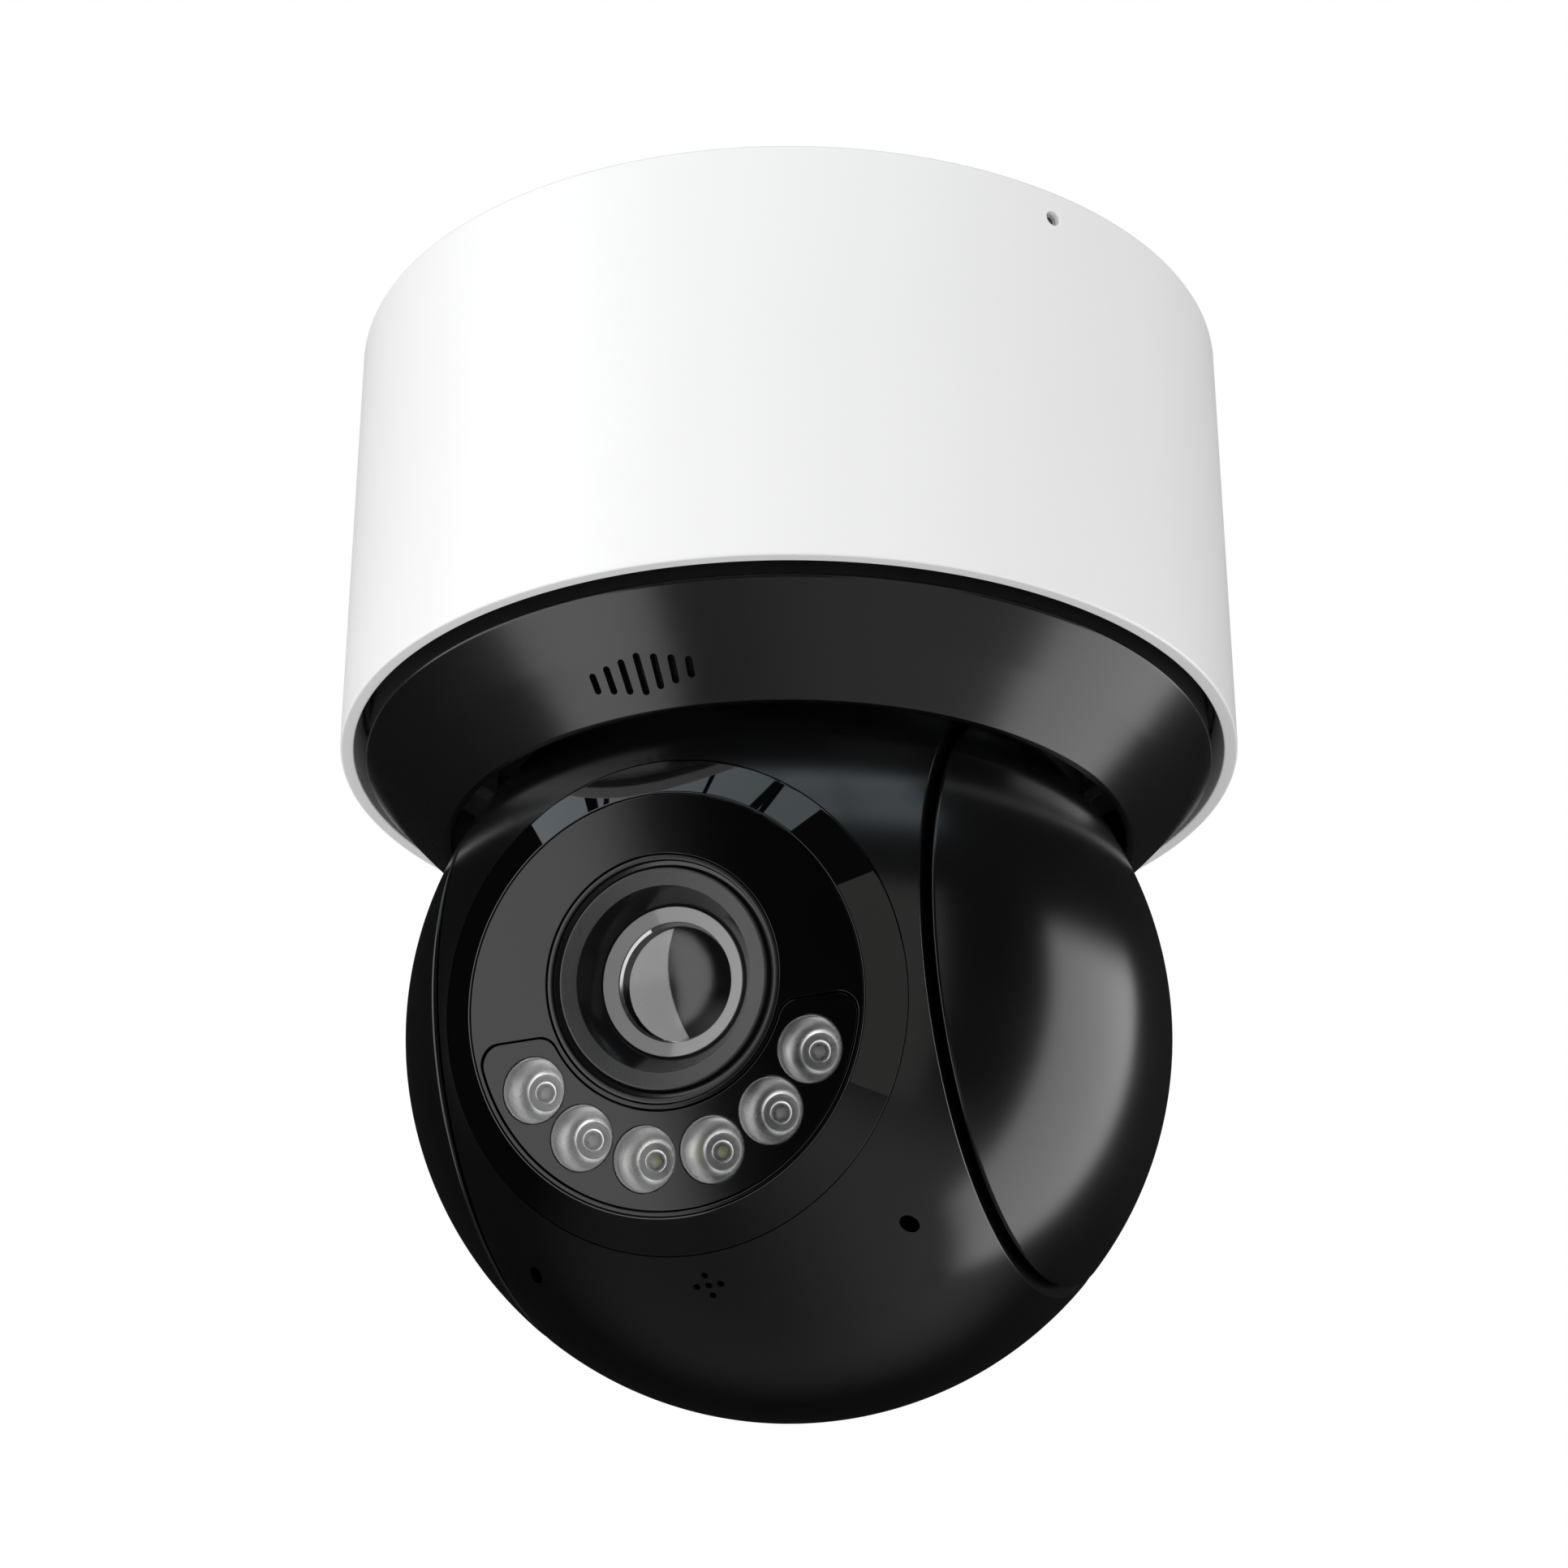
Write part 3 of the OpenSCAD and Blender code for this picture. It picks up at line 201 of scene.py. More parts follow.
def revolve(bm, outline, segments=ROUND, centre=(0, 0)):
    """Adds a closed outline (radius, height) turned about the local Z axis."""
    rings = []
    for radius, height in outline:
        if radius < ON_AXIS:
            rings.append([bm.verts.new((centre[0], centre[1], height))])
            continue
        angles = [2 * math.pi * k / segments for k in range(segments)]
        rings.append([
            bm.verts.new((centre[0] + radius * math.cos(t), centre[1] + radius * math.sin(t), height))
            for t in angles
        ])
    for lower, upper in zip(rings, rings[1:] + rings[:1]):
        for k in range(segments):
            j = (k + 1) % segments
            loop = [lower[k % len(lower)], lower[j % len(lower)]]
            loop += [upper[j % len(upper)], upper[k % len(upper)]]
            corners = list(dict.fromkeys(loop))
            if len(corners) > 2:
                bm.faces.new(corners)


def lathe(name, outline, place, segments=ROUND, sharp=40, weighted=True):
    """Object from a closed outline turned about the local Z axis."""
    bm = bmesh.new()
    revolve(bm, outline, segments)
    return finished(name, bm, place, sharp, weighted)


def prism(bm, outline, low, high, move=Matrix.Identity(4)):
    """Adds a straight solid between two heights over a convex or simple outline."""
    bottom = [bm.verts.new(move @ Vector((x, y, low))) for x, y in outline]
    top = [bm.verts.new(move @ Vector((x, y, high))) for x, y in outline]
    bm.faces.new(bottom[::-1])
    bm.faces.new(top)
    for k in range(len(outline)):
        j = (k + 1) % len(outline)
        bm.faces.new([bottom[k], bottom[j], top[j], top[k]])


def evaluated_mesh(piece):
    """Mesh of an object with its modifiers or bevels applied."""
    return bpy.data.meshes.new_from_object(piece.evaluated_get(bpy.context.evaluated_depsgraph_get()))


def plate(name, outlines, low, high, edge, place):
    """Flat plate with holes and rounded edges, from closed outlines; only the edges are smooth."""
    curve = bpy.data.curves.new(name, "CURVE")
    curve.dimensions = "2D"
    curve.fill_mode = "BOTH"
    curve.extrude = (high - low) / 2 - edge
    curve.bevel_depth = edge
    curve.bevel_resolution = 3
    curve.offset = -edge
    for outline in outlines:
        spline = curve.splines.new("POLY")
        spline.points.add(len(outline) - 1)
        for point, (x, y) in zip(spline.points, outline):
            point.co = (x, y, 0, 1)
        spline.use_cyclic_u = True
    drawn = bpy.data.objects.new(name, curve)
    scene.collection.objects.link(drawn)
    bpy.context.view_layer.update()
    mesh = evaluated_mesh(drawn)
    bpy.data.objects.remove(drawn)
    crumb = 0.002
    bm = bmesh.new()
    bm.from_mesh(mesh)
    bmesh.ops.remove_doubles(bm, verts=bm.verts, dist=crumb)
    bmesh.ops.dissolve_degenerate(bm, edges=bm.edges, dist=crumb)
    bm.transform(Matrix.Translation((0, 0, (low + high) / 2)))
    piece = finished(name, bm, place, 15, weighted=False)
    axis = place.to_3x3() @ Vector((0, 0, 1))
    for face in piece.data.polygons:
        face.use_smooth = abs(face.normal.dot(axis)) < 0.999
    return piece


def cut(piece, *cutters):
    """Takes each cutter away from the piece and deletes it."""
    piece.modifiers.clear()
    for cutter in cutters:
        cutter.modifiers.clear()
        modifier = piece.modifiers.new("cut", "BOOLEAN")
        modifier.operation = "DIFFERENCE"
        modifier.solver = "EXACT"
        modifier.object = cutter
    bpy.context.view_layer.update()
    mesh = evaluated_mesh(piece)
    piece.modifiers.clear()
    piece.data = mesh
    for cutter in cutters:
        bpy.data.objects.remove(cutter)


def round_normals(piece, centre, radius):
    """Gives the faces that lie on a sphere that sphere's own normals; zero keeps the rest."""
    mesh = piece.data
    near = 0.02 * MM
    normals = [(0.0, 0.0, 0.0)] * len(mesh.loops)
    for face in mesh.polygons:
        out = (face.center - centre).normalized()
        if abs(face.normal.dot(out)) < 0.995:
            continue
        for corner in face.loop_indices:
            arm = mesh.vertices[mesh.loops[corner].vertex_index].co - centre
            if abs(arm.length - radius * MM) < near:
                sign = 1 if face.normal.dot(out) > 0 else -1
                normals[corner] = tuple(arm.normalized() * sign)
    mesh.normals_split_custom_set(normals)


def hole(centre, radius, low, high, place, segments=HOLE_ROUND):
    """Round cutter between two heights."""
    bm = bmesh.new()
    revolve(bm, [(0, low), (radius, low), (radius, high), (0, high)], segments, centre)
    return finished("cutter", bm, place)


def block(outline, low, high, place):
    """Straight cutter between two heights."""
    bm = bmesh.new()
    prism(bm, outline, low, high)
    return finished("cutter", bm, place)


def square(x0, x1, y0, y1):
    return [(x0, y0), (x1, y0), (x1, y1), (x0, y1)]


def circle(centre, radius, steps=ROUND):
    return arc(centre, radius, 0, 360, steps)[:-1]


# ---------- materials ----------


class Finish:
    """Node material around one Principled shader, with helpers that add its surface detail."""

    def __init__(self, name, colour, roughness, metallic=0.0, **shader_values):
        self.material = bpy.data.materials.new(name)
        self.material.use_nodes = True
        self.tree = self.material.node_tree
        self.shader = self.tree.nodes["Principled BSDF"]
        self.colour = colour
        self.roughness = roughness
        self.shader.inputs["Base Color"].default_value = (*colour, 1)
        self.shader.inputs["Roughness"].default_value = roughness
        self.shader.inputs["Metallic"].default_value = metallic
        for socket, value in shader_values.items():
            title = socket.replace("_", " ").title().replace("Ior", "IOR")
            self.shader.inputs[title].default_value = value
        self.place = self.add("ShaderNodeTexCoord").outputs["Object"]
        self.height = None

    def add(self, kind, **values):
        """New node, with the values for its inputs or its own settings."""
        node = self.tree.nodes.new(kind)
        for key, value in values.items():
            if key in node.inputs:
                node.inputs[key].default_value = value
            else:
                setattr(node, key, value)
        return node

    def link(self, source, target):
        self.tree.links.new(source, target)

    def noise(self, size_mm, detail=3.0, stretch=(1, 1, 1)):
        """Noise whose features are about the given size."""
        mapping = self.add("ShaderNodeMapping")
        mapping.inputs["Scale"].default_value = [s / (size_mm * MM) for s in stretch]
        self.link(self.place, mapping.inputs["Vector"])
        noise = self.add("ShaderNodeTexNoise", Scale=1.0, Detail=detail)
        self.link(mapping.outputs["Vector"], noise.inputs["Vector"])
        return noise.outputs["Fac"]

    def ranged(self, source, low, high):
        """The usual spread of a noise, stretched to run from low to high."""
        ranged = self.add("ShaderNodeMapRange")
        for key, value in (("From Min", 0.3), ("From Max", 0.7), ("To Min", low), ("To Max", high)):
            ranged.inputs[key].default_value = value
        self.link(source, ranged.inputs["Value"])
        return ranged.outputs["Result"]

    def mix_colours(self, factor, first, second):
        """Feeds the base colour with a mix of two colours."""
        mix = self.add("ShaderNodeMix", data_type="RGBA")
        ends = [socket for socket in mix.inputs if socket.type == "RGBA"]
        ends[0].default_value = (*first, 1)
        ends[1].default_value = (*second, 1)
        self.link(factor, mix.inputs["Factor"])
        mixed = [socket for socket in mix.outputs if socket.type == "RGBA"][0]
        self.link(mixed, self.shader.inputs["Base Color"])

    def vary_colour(self, source, amount):
        """Darkens and lightens the base colour by the given share."""
        darker = [channel * (1 - amount) for channel in self.colour]
        lighter = [min(1.0, channel * (1 + amount)) for channel in self.colour]
        self.mix_colours(self.ranged(source, 0, 1), darker, lighter)
        return self

    def vary_roughness(self, source, amount):
        """Lowers and raises the roughness by the given share."""
        low = self.roughness * (1 - amount)
        high = min(1.0, self.roughness * (1 + amount))
        self.link(self.ranged(source, low, high), self.shader.inputs["Roughness"])
        return self

    def bump(self, source, depth_mm, strength=1.0):
        """Adds a height pattern on top of any that is there."""
        bump = self.add("ShaderNodeBump", Strength=strength, Distance=depth_mm * MM)
        self.link(source, bump.inputs["Height"])
        if self.height:
            self.link(self.height, bump.inputs["Normal"])
        self.height = bump.outputs["Normal"]
        self.link(self.height, self.shader.inputs["Normal"])
        return self


def moulded(name, colour, roughness, grain_mm, depth_mm, wave_mm=18, tone=0.04, **values):
    """Moulded plastic: fine spark-eroded grain, a slow change of gloss and a faint change of shade."""
    finish = Finish(name, colour, roughness, **values)
    slow = finish.noise(wave_mm, 2)
    fine = finish.noise(grain_mm, 4)
    finish.vary_colour(slow, tone).vary_roughness(slow, 0.08)
    finish.bump(fine, depth_mm, 0.6)
    return finish


def polished(name, colour, roughness):
    """Polished plastic: a long, shallow ripple from moulding and a trace of haze."""
    finish = Finish(name, colour, roughness)
    finish.vary_roughness(finish.noise(9, 3), 0.25)
    finish.bump(finish.noise(14, 1), 0.004, 0.25)
    return finish


def metal(name, colour, roughness, grain_mm, depth_mm, stretch=(1, 1, 1)):
    """Bare metal with its own grain, stretched along the brushing where there is any."""
    finish = Finish(name, colour, roughness, metallic=1.0)
    grain = finish.noise(grain_mm, 5, stretch)
    finish.vary_colour(finish.noise(6, 3), 0.08).vary_roughness(grain, 0.3)
    finish.bump(grain, depth_mm, 0.5)
    return finish


def circuit(name):
    """Solder mask over copper tracks, which show as slightly raised, lighter lines."""
    mask, copper = (0.012, 0.09, 0.035), (0.03, 0.17, 0.07)
    finish = Finish(name, mask, 0.35, coat_weight=0.4)
    tracks = finish.add("ShaderNodeTexBrick", Scale=1 / (3.2 * MM))
    tracks.inputs["Mortar Size"].default_value = 0.05
    finish.link(finish.place, tracks.inputs["Vector"])
    finish.mix_colours(tracks.outputs["Fac"], mask, copper)
    finish.bump(tracks.outputs["Fac"], 0.03, 0.5)
    return finish


def woven(name, colour):
    """Fine acoustic cloth: crossing threads as two wave patterns."""
    finish = Finish(name, colour, 0.85, sheen_weight=0.3)
    heights = []
    for direction in ("X", "Z"):
        wave = finish.add("ShaderNodeTexWave", bands_direction=direction, Scale=1 / (1.2 * MM))
        finish.link(finish.place, wave.inputs["Vector"])
        heights.append(wave.outputs["Fac"])
    both = finish.add("ShaderNodeMath", operation="MULTIPLY")
    finish.link(heights[0], both.inputs[0])
    finish.link(heights[1], both.inputs[1])
    finish.vary_colour(both.outputs["Value"], 0.35)
    finish.bump(both.outputs["Value"], 0.12, 1.0)
    return finish


def glass(name, colour, roughness, ior):
    """Clear or frosted glass or acrylic, with a slightly uneven haze."""
    finish = Finish(name, colour, roughness, transmission_weight=1.0, ior=ior)
    finish.vary_roughness(finish.noise(5, 2), 0.2)
    return finish


FINISHES = {
    "white_shell": moulded("white_shell", (0.80, 0.80, 0.80), 0.38, 0.5, 0.002, 60, 0.005),
    "black_satin": moulded("black_satin", (0.002, 0.0021, 0.0022), 0.2, 0.4, 0.0012, 22),
    "bezel_gloss": polished("bezel_gloss", (0.001, 0.001, 0.0011), 0.02),
    "face_matte": moulded("face_matte", (0.0008, 0.0008, 0.0009), 0.075, 0.25, 0.0003, 15, ior=1.42),
    "lens_plastic": moulded("lens_plastic", (0.004, 0.004, 0.0045), 0.24, 0.3, 0.003, 12),
    "hood_grained": moulded("hood_grained", (0.02, 0.02, 0.021), 0.42, 0.3, 0.05, 9),
    "dark_plastic": moulded("dark_plastic", (0.03, 0.03, 0.032), 0.5, 0.4, 0.01, 15),
    "acetal": moulded("acetal", (0.78, 0.76, 0.68), 0.4, 0.5, 0.004, 12),
    "black_rubber": moulded("black_rubber", (0.018, 0.018, 0.018), 0.72, 0.5, 0.02, 10),
    "zinc_steel": metal("zinc_steel", (0.62, 0.64, 0.66), 0.34, 1.2, 0.002),
    "steel_screws": metal("steel_screws", (0.55, 0.56, 0.58), 0.28, 0.4, 0.004),
    "bearing_steel": metal("bearing_steel", (0.66, 0.67, 0.68), 0.16, 0.8, 0.002, (1, 1, 0.2)),
    "motor_can": metal("motor_can", (0.5, 0.51, 0.52), 0.32, 1.0, 0.004, (1, 1, 0.1)),
    "plated_jack": metal("plated_jack", (0.7, 0.71, 0.72), 0.22, 1.2, 0.003),
    "cast_alloy": metal("cast_alloy", (0.56, 0.57, 0.58), 0.42, 0.7, 0.02),
    "brass_posts": metal("brass_posts", (0.75, 0.56, 0.26), 0.25, 0.5, 0.003, (1, 1, 0.2)),
    "brass_gear": metal("brass_gear", (0.72, 0.54, 0.27), 0.3, 0.5, 0.003),
    "circuit_board": circuit("circuit_board"),
    "acoustic_cloth": woven("acoustic_cloth", (0.012, 0.012, 0.013)),
    "clear_lens": glass("clear_lens", (1.0, 1.0, 1.0), 0.02, 1.49),
    "coated_glass": glass("coated_glass", (1.0, 1.0, 1.0), 0.005, 1.9),
}

SLOT_OF = {name: node.data.materials[0].name for name, node in frame["nodes"].items()}
BODY_OF = {name: body_of(node)[0] for name, node in frame["nodes"].items()}


def paint(piece, finish):
    piece.data.materials.clear()
    piece.data.materials.append(finish.material)


def stand_in(piece, node, finish=None):
    """The piece takes the node's place, body and finish."""
    paint(piece, finish or FINISHES[SLOT_OF[node]])
    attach(piece, BODY_OF[node])
    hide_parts(node)


def beside(piece, node, finish=None):
    """The piece is an extra part of the node's stand-in."""
    paint(piece, finish or FINISHES[SLOT_OF[node]])
    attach(piece, BODY_OF[node])


for node in frame["nodes"].values():
    for material_slot in node.material_slots:
        material_slot.material = FINISHES[material_slot.material.name.split(".")[0]].material

# ---------- base: housing and skirt ----------

SCREW_AZIMUTH = 57.5
SCREW_HEIGHT = -5.6
SCREW_HOLE_R = 1.35
LEDGE_T = 2.5
LEDGE_R = 71
CHASSIS_LEDGE_Z = -52.5
COVER_LEDGE_Z = -16
SKIRT_LEDGE_R = 66.9
SKIRT_T = 3
SKIRT_FLANGE = SKIRT_HIGH[2]
FLANGE_T = 2
SKIRT_TOP_Z = -HOUSING_H - 1.1
SKIRT_LIP_Z = SKIRT_LOW[2]
SKIRT_TOP_R = SHELL_IN_R - 0.55
SKIRT_LIP_R = SKIRT_TOP_R - 15
SLOTS = 7
SLOT_STEP = 2.5
SLOT_W = 1.25
SLOT_REACH = 5
SLOT_R = 65.4
SLOT_Z = -92.15
SLOT_SPANS = (7.5, 6.3, 5.1, 3.8)


def ledge(inner, low):
    """Corners of a ring that stands in from the housing's wall."""
    high = low + LEDGE_T
    return [(SHELL_IN_R, low, 0.4), (inner, low, 0.3), (inner, high, 0.3), (SHELL_IN_R, high, 0.4)]


def set_screw_cutter():
    """Hole through the housing's side, with a rounded mouth."""
    aim = math.radians(SCREW_AZIMUTH - 90)
    out = Vector((math.cos(aim), math.sin(aim), 0))
    up = Vector((0, 0, 1))
    place = placed(up.cross(out), up, out, Vector((0, 0, SCREW_HEIGHT * MM)))
    surface = HOUSING_TOP_R + (HOUSING_R - HOUSING_TOP_R) * -SCREW_HEIGHT / HOUSING_H
    mouth = 0.35
    flare = [(0, surface - 10), (SCREW_HOLE_R, surface - 10)]
    flare += [(SCREW_HOLE_R + mouth - r, surface - mouth + z) for r, z in arc((0, 0), mouth, 0, 90, 5)]
    flare += [(SCREW_HOLE_R + mouth, surface + 3), (0, surface + 3)]
    bm = bmesh.new()
    revolve(bm, flare, 64)
    return finished("cutter", bm, place)


def make_housing():
    outline = soften([
        (SHELL_IN_R, 0, 0.4),
        (HOUSING_TOP_R, 0, 0.9),
        (HOUSING_R, -HOUSING_H, 0.45),
        (SHELL_IN_R + 1.2, -HOUSING_H, 0.3),
        (SHELL_IN_R, SKIRT_FLANGE - 2.2, 0.5),
        *ledge(SKIRT_LEDGE_R, SKIRT_FLANGE),
        *ledge(LEDGE_R, CHASSIS_LEDGE_Z),
        *ledge(LEDGE_R, COVER_LEDGE_Z),
    ])
    shell = lathe("housing_shell", outline, BASE)
    cut(shell, set_screw_cutter())
    shade(shell)
    stand_in(shell, "housing")


def make_skirt():
    middle_r = (SKIRT_TOP_R + SKIRT_LIP_R) / 2
    middle_z = (SKIRT_TOP_Z + SKIRT_LIP_Z) / 2
    outline = soften([
        (SKIRT_TOP_R - SKIRT_T, SKIRT_FLANGE, 0.3),
        (SHELL_IN_R - 0.2, SKIRT_FLANGE, 0.3),
        (SHELL_IN_R - 0.2, SKIRT_FLANGE - FLANGE_T, 0.3),
        (SKIRT_TOP_R - 0.9, SKIRT_FLANGE - FLANGE_T, 0.3),
        (SKIRT_TOP_R - 0.9, SKIRT_TOP_Z + 0.25, 0),
        (SKIRT_TOP_R, SKIRT_TOP_Z, 0.6),
        (middle_r + 0.25, middle_z, 60),
        (SKIRT_LIP_R + 0.1, SKIRT_LIP_Z, 0.5),
        (SKIRT_LIP_R - 2, SKIRT_LIP_Z, 0.5),
        (SKIRT_TOP_R - SKIRT_T, SKIRT_TOP_Z - 0.2, 2),
    ])
    shell = lathe("skirt_shell", outline, BASE)
    cut(shell, slot_cutter())
    shade(shell)
    stand_in(shell, "skirt", moulded("skirt_satin", (0.0042, 0.0043, 0.0045), 0.22, 0.4, 0.0015, 22))


def slot_cutter():
    """The seven sound slots, square to the skirt and shorter toward the ends of the row."""
    slope = math.atan2(SKIRT_TOP_R - SKIRT_LIP_R, SKIRT_TOP_Z - SKIRT_LIP_Z)
    lean = Matrix.Rotation(slope, 4, "Y")
    outward = placed(Vector((0, 1, 0)), Vector((0, 0, 1)), Vector((1, 0, 0)), Vector((0, 0, 0)))
    bm = bmesh.new()
    for i in range(SLOTS):
        offset = i - (SLOTS - 1) // 2
        half = (SLOT_SPANS[abs(offset)] - SLOT_W) / 2
        ends = arc((0, half), SLOT_W / 2, 0, 180, 12) + arc((0, -half), SLOT_W / 2, 180, 360, 12)
        around = Matrix.Rotation(math.radians(-90 + SLOT_STEP * offset), 4, "Z")
        move = around @ Matrix.Translation((SLOT_R, 0, SLOT_Z)) @ lean @ outward
        prism(bm, ends, -SLOT_REACH, SLOT_REACH, move)
    return finished("cutter", bm, BASE)


# ---------- ball: cheeks and the two shells of the tilting slice ----------

CHEEK_RING_R = 38
CHEEK_RING_T = 2
SHAFT_RIGHT_R = 5
SHAFT_LEFT_R = 8
HEAD_SCREW_X = 33.2
HEAD_SCREW_UP = 39.4
HEAD_SCREW_R = 1.3
HEAD_BORE_R = 2.4
HEAD_BORE_TOP = -34
SHELL_LAP = 0.4
MIC_ANGLE = 43.3
MIC_PITCH = 2.1
MIC_HOLE_R = 0.6
MIC_HOLE_LOW = 60
SERVICE_W = 32
SERVICE_H = 20
SERVICE_DEPTH = 3.6
NOTCH_UP = -56
NOTCH_TILT = 16
FAR = 90


def ball_arc(radius, low, high, steps):
    """Points (radius from axis, height along it) on the ball's section between two heights."""
    start = math.degrees(math.asin(max(-1, low / radius)))
    end = math.degrees(math.asin(min(1, high / radius)))
    return arc((0, 0), radius, start, end, steps)


def make_cheek(name, node, place):
    inside_r = BALL_R - WALL
    ring = CHEEK_X + CHEEK_RING_T
    outer = ball_arc(BALL_R, CHEEK_X, BALL_R, 48)
    inner = ball_arc(inside_r, ring, inside_r, 32)
    outer[-1] = (0, BALL_R)
    inner[-1] = (0, inside_r)
    corners = [(*outer[0], 0.55)] + outer[1:] + inner[::-1]
    corners += [(CHEEK_RING_R, ring, 0.4), (CHEEK_RING_R, CHEEK_X, 0.4)]
    cheek = lathe(name, soften(corners), place, BALL_ROUND, weighted=False)
    round_normals(cheek, BALL, BALL_R)
    stand_in(cheek, node)


def slice_shell(name):
    """Hollow slice of the ball between two planes, with rounded rims."""
    low, high = -SLICE_X, SLICE_X
    outer = ball_arc(BALL_R, low, high, 96)
    inner = ball_arc(BALL_R - WALL, low + WALL, high - WALL, 72)
    corners = [(*outer[0], 0.5)] + outer[1:-1] + [(*outer[-1], 0.5)]
    corners += [(SHAFT_RIGHT_R, high), (SHAFT_RIGHT_R, high - WALL)] + inner[::-1]
    corners += [(SHAFT_LEFT_R, low + WALL), (SHAFT_LEFT_R, low)]
    return lathe(name, soften(corners), RIGHT, BALL_ROUND, weighted=False)


def make_front_shell():
    shell = slice_shell("front_shell_skin")
    holes = [hole((x, -HEAD_SCREW_UP), HEAD_SCREW_R, SPLIT_N - 5, FAR, HEAD)
             for x in (-HEAD_SCREW_X, HEAD_SCREW_X)]
    mic = HEAD @ Matrix.Rotation(math.radians(MIC_ANGLE), 4, "X")
    for x, y in ((0, 0), (1, 0), (-1, 0), (0, 1), (0, -1)):
        holes.append(hole((x * MIC_PITCH, y * MIC_PITCH), MIC_HOLE_R, MIC_HOLE_LOW, FAR, mic, 32))
    opening = hole((0, 0), BEZEL_R + FIT, BEZEL_LOW[2] - 0.5, FAR, HEAD, ROUND)
    behind = block(square(-FAR, FAR, -FAR, FAR), -FAR, SPLIT_N, HEAD)
    cut(shell, behind, opening, *holes)
    shade(shell, 30, False)
    round_normals(shell, BALL, BALL_R)
    stand_in(shell, "front_shell")


def notch_cutter(side):
    """Finger notch beside the seam, near the low end of the parting line."""
    outline = soften([(*corner, 1.2) for corner in square(-4.1, 4.1, -4, 4)])
    centre = Vector((side * (SLICE_X - 4), NOTCH_UP, SPLIT_N - 5))
    lean = Matrix.Rotation(math.radians(NOTCH_TILT), 4, "X")
    return block(outline, -5, 5, HEAD @ Matrix.Translation(centre * MM) @ lean)


def make_rear_shell():
    shell = slice_shell("rear_shell_skin")
    ahead = block(square(-FAR, FAR, -FAR, FAR), SPLIT_N - SHELL_LAP, FAR, HEAD)
    corners = square(-SERVICE_W / 2, SERVICE_W / 2, -SERVICE_H / 2, SERVICE_H / 2)
    seat_outline = soften([(*corner, 4) for corner in corners], 10)
    seat = block(seat_outline, BALL_R - SERVICE_DEPTH, FAR, SERVICE)
    notches = [notch_cutter(-1), notch_cutter(1)]
    holes = [hole((x, HEAD_SCREW_UP), HEAD_BORE_R, -FAR, HEAD_BORE_TOP, HEAD)
             for x in (-HEAD_SCREW_X, HEAD_SCREW_X)]
    cut(shell, ahead, seat, *notches, *holes)
    shade(shell, 30, False)
    round_normals(shell, BALL, BALL_R)
    stand_in(shell, "rear_shell")


# ---------- window: bezel, face and lamps ----------

FACE_T = 2
FACE_EDGE = 0.12
INSERT_DROP = 0.12
LAMPS = 6
WHITE_LAMPS = (2, 3)
LAMP_FRONT = LAMP_HIGH[2]
LAMP_BACK = LAMP_LOW[2]
LAMP_RING_R = 27.65
LAMP_RING_UP = 2.3
LAMP_STEP = 24.6
LAMP_R = 5.45
INSERT_IN_R = 21.4
INSERT_OUT_R = 33.9
INSERT_TOP = -2.3
INSERT_CORNER = 3.4
INSERT_GAP = 0.25


def insert_outline(inset):
    """Arc-shaped window below the lens, with rounded ends, drawn in by the given distance."""
    inner_r = INSERT_IN_R + inset
    outer_r = INSERT_OUT_R - inset
    corner = INSERT_CORNER
    height = INSERT_TOP - inset - corner
    outer_x = math.sqrt((outer_r - corner) ** 2 - height ** 2)
    inner_x = math.sqrt((inner_r + corner) ** 2 - (LENS_UP - height) ** 2)
    low = math.degrees(math.atan2(height, outer_x))
    side = math.degrees(math.atan2(height - LENS_UP, inner_x))
    outline = arc((0, 0), outer_r, -180 - low, low, 160)
    outline += arc((outer_x, height), corner, low, 90, 16)
    outline += arc((inner_x, height), corner, 90, side + 180, 16)
    outline += arc((0, LENS_UP), inner_r, side, -180 - side, 120)
    outline += arc((-inner_x, height), corner, -side, 90, 16)
    outline += arc((-outer_x, height), corner, 90, 180 - low, 16)
    return tidy_outline(outline)


def tidy_outline(outline):
    """Drops points that repeat the one before."""
    near = 1e-3
    kept = []
    for point in outline:
        if not kept or math.dist(point, kept[-1]) > near:
            kept.append(point)
    if math.dist(kept[0], kept[-1]) < near:
        kept.pop()
    return kept


def lamp_centres():
    """Centres of the lamps, evenly spaced on an arc below the lens."""
    angles = [math.radians(-90 + LAMP_STEP * (i - (LAMPS - 1) / 2)) for i in range(LAMPS)]
    return [(LAMP_RING_R * math.cos(t), LAMP_RING_UP + LAMP_RING_R * math.sin(t)) for t in angles]


def make_window():
    rim = BEZEL_R - 0.05
    outline = soften([
        (FACE_R + 0.15, BEZEL_LOW[2], 0),
        (rim, BEZEL_LOW[2], 0),
        (rim, BEZEL_N + 0.1, 0.15),
        (rim - 0.3, BEZEL_N + 0.3, 0.2),
        (FACE_R + 0.4, FACE_N - 0.02, 0.25),
        (FACE_R + 0.15, FACE_N - 0.02, 0.1),
    ])
    stand_in(lathe("bezel_ring", outline, HEAD), "bezel")

    outlines = [circle((0, 0), FACE_R), circle((0, LENS_UP), LENS_HOLE_R), insert_outline(0)]
    disc = plate("face_disc", outlines, FACE_N - FACE_T, FACE_N, FACE_EDGE, HEAD)
    stand_in(disc, "face_plate")

    outlines = [insert_outline(INSERT_GAP)]
    outlines += [circle(centre, LAMP_R + 0.12, LAMP_ROUND) for centre in lamp_centres()]
    cover = plate("lamp_cover_plate", outlines, FACE_N - FACE_T, FACE_N - INSERT_DROP, FACE_EDGE, HEAD)
    stand_in(cover, "lamp_cover")


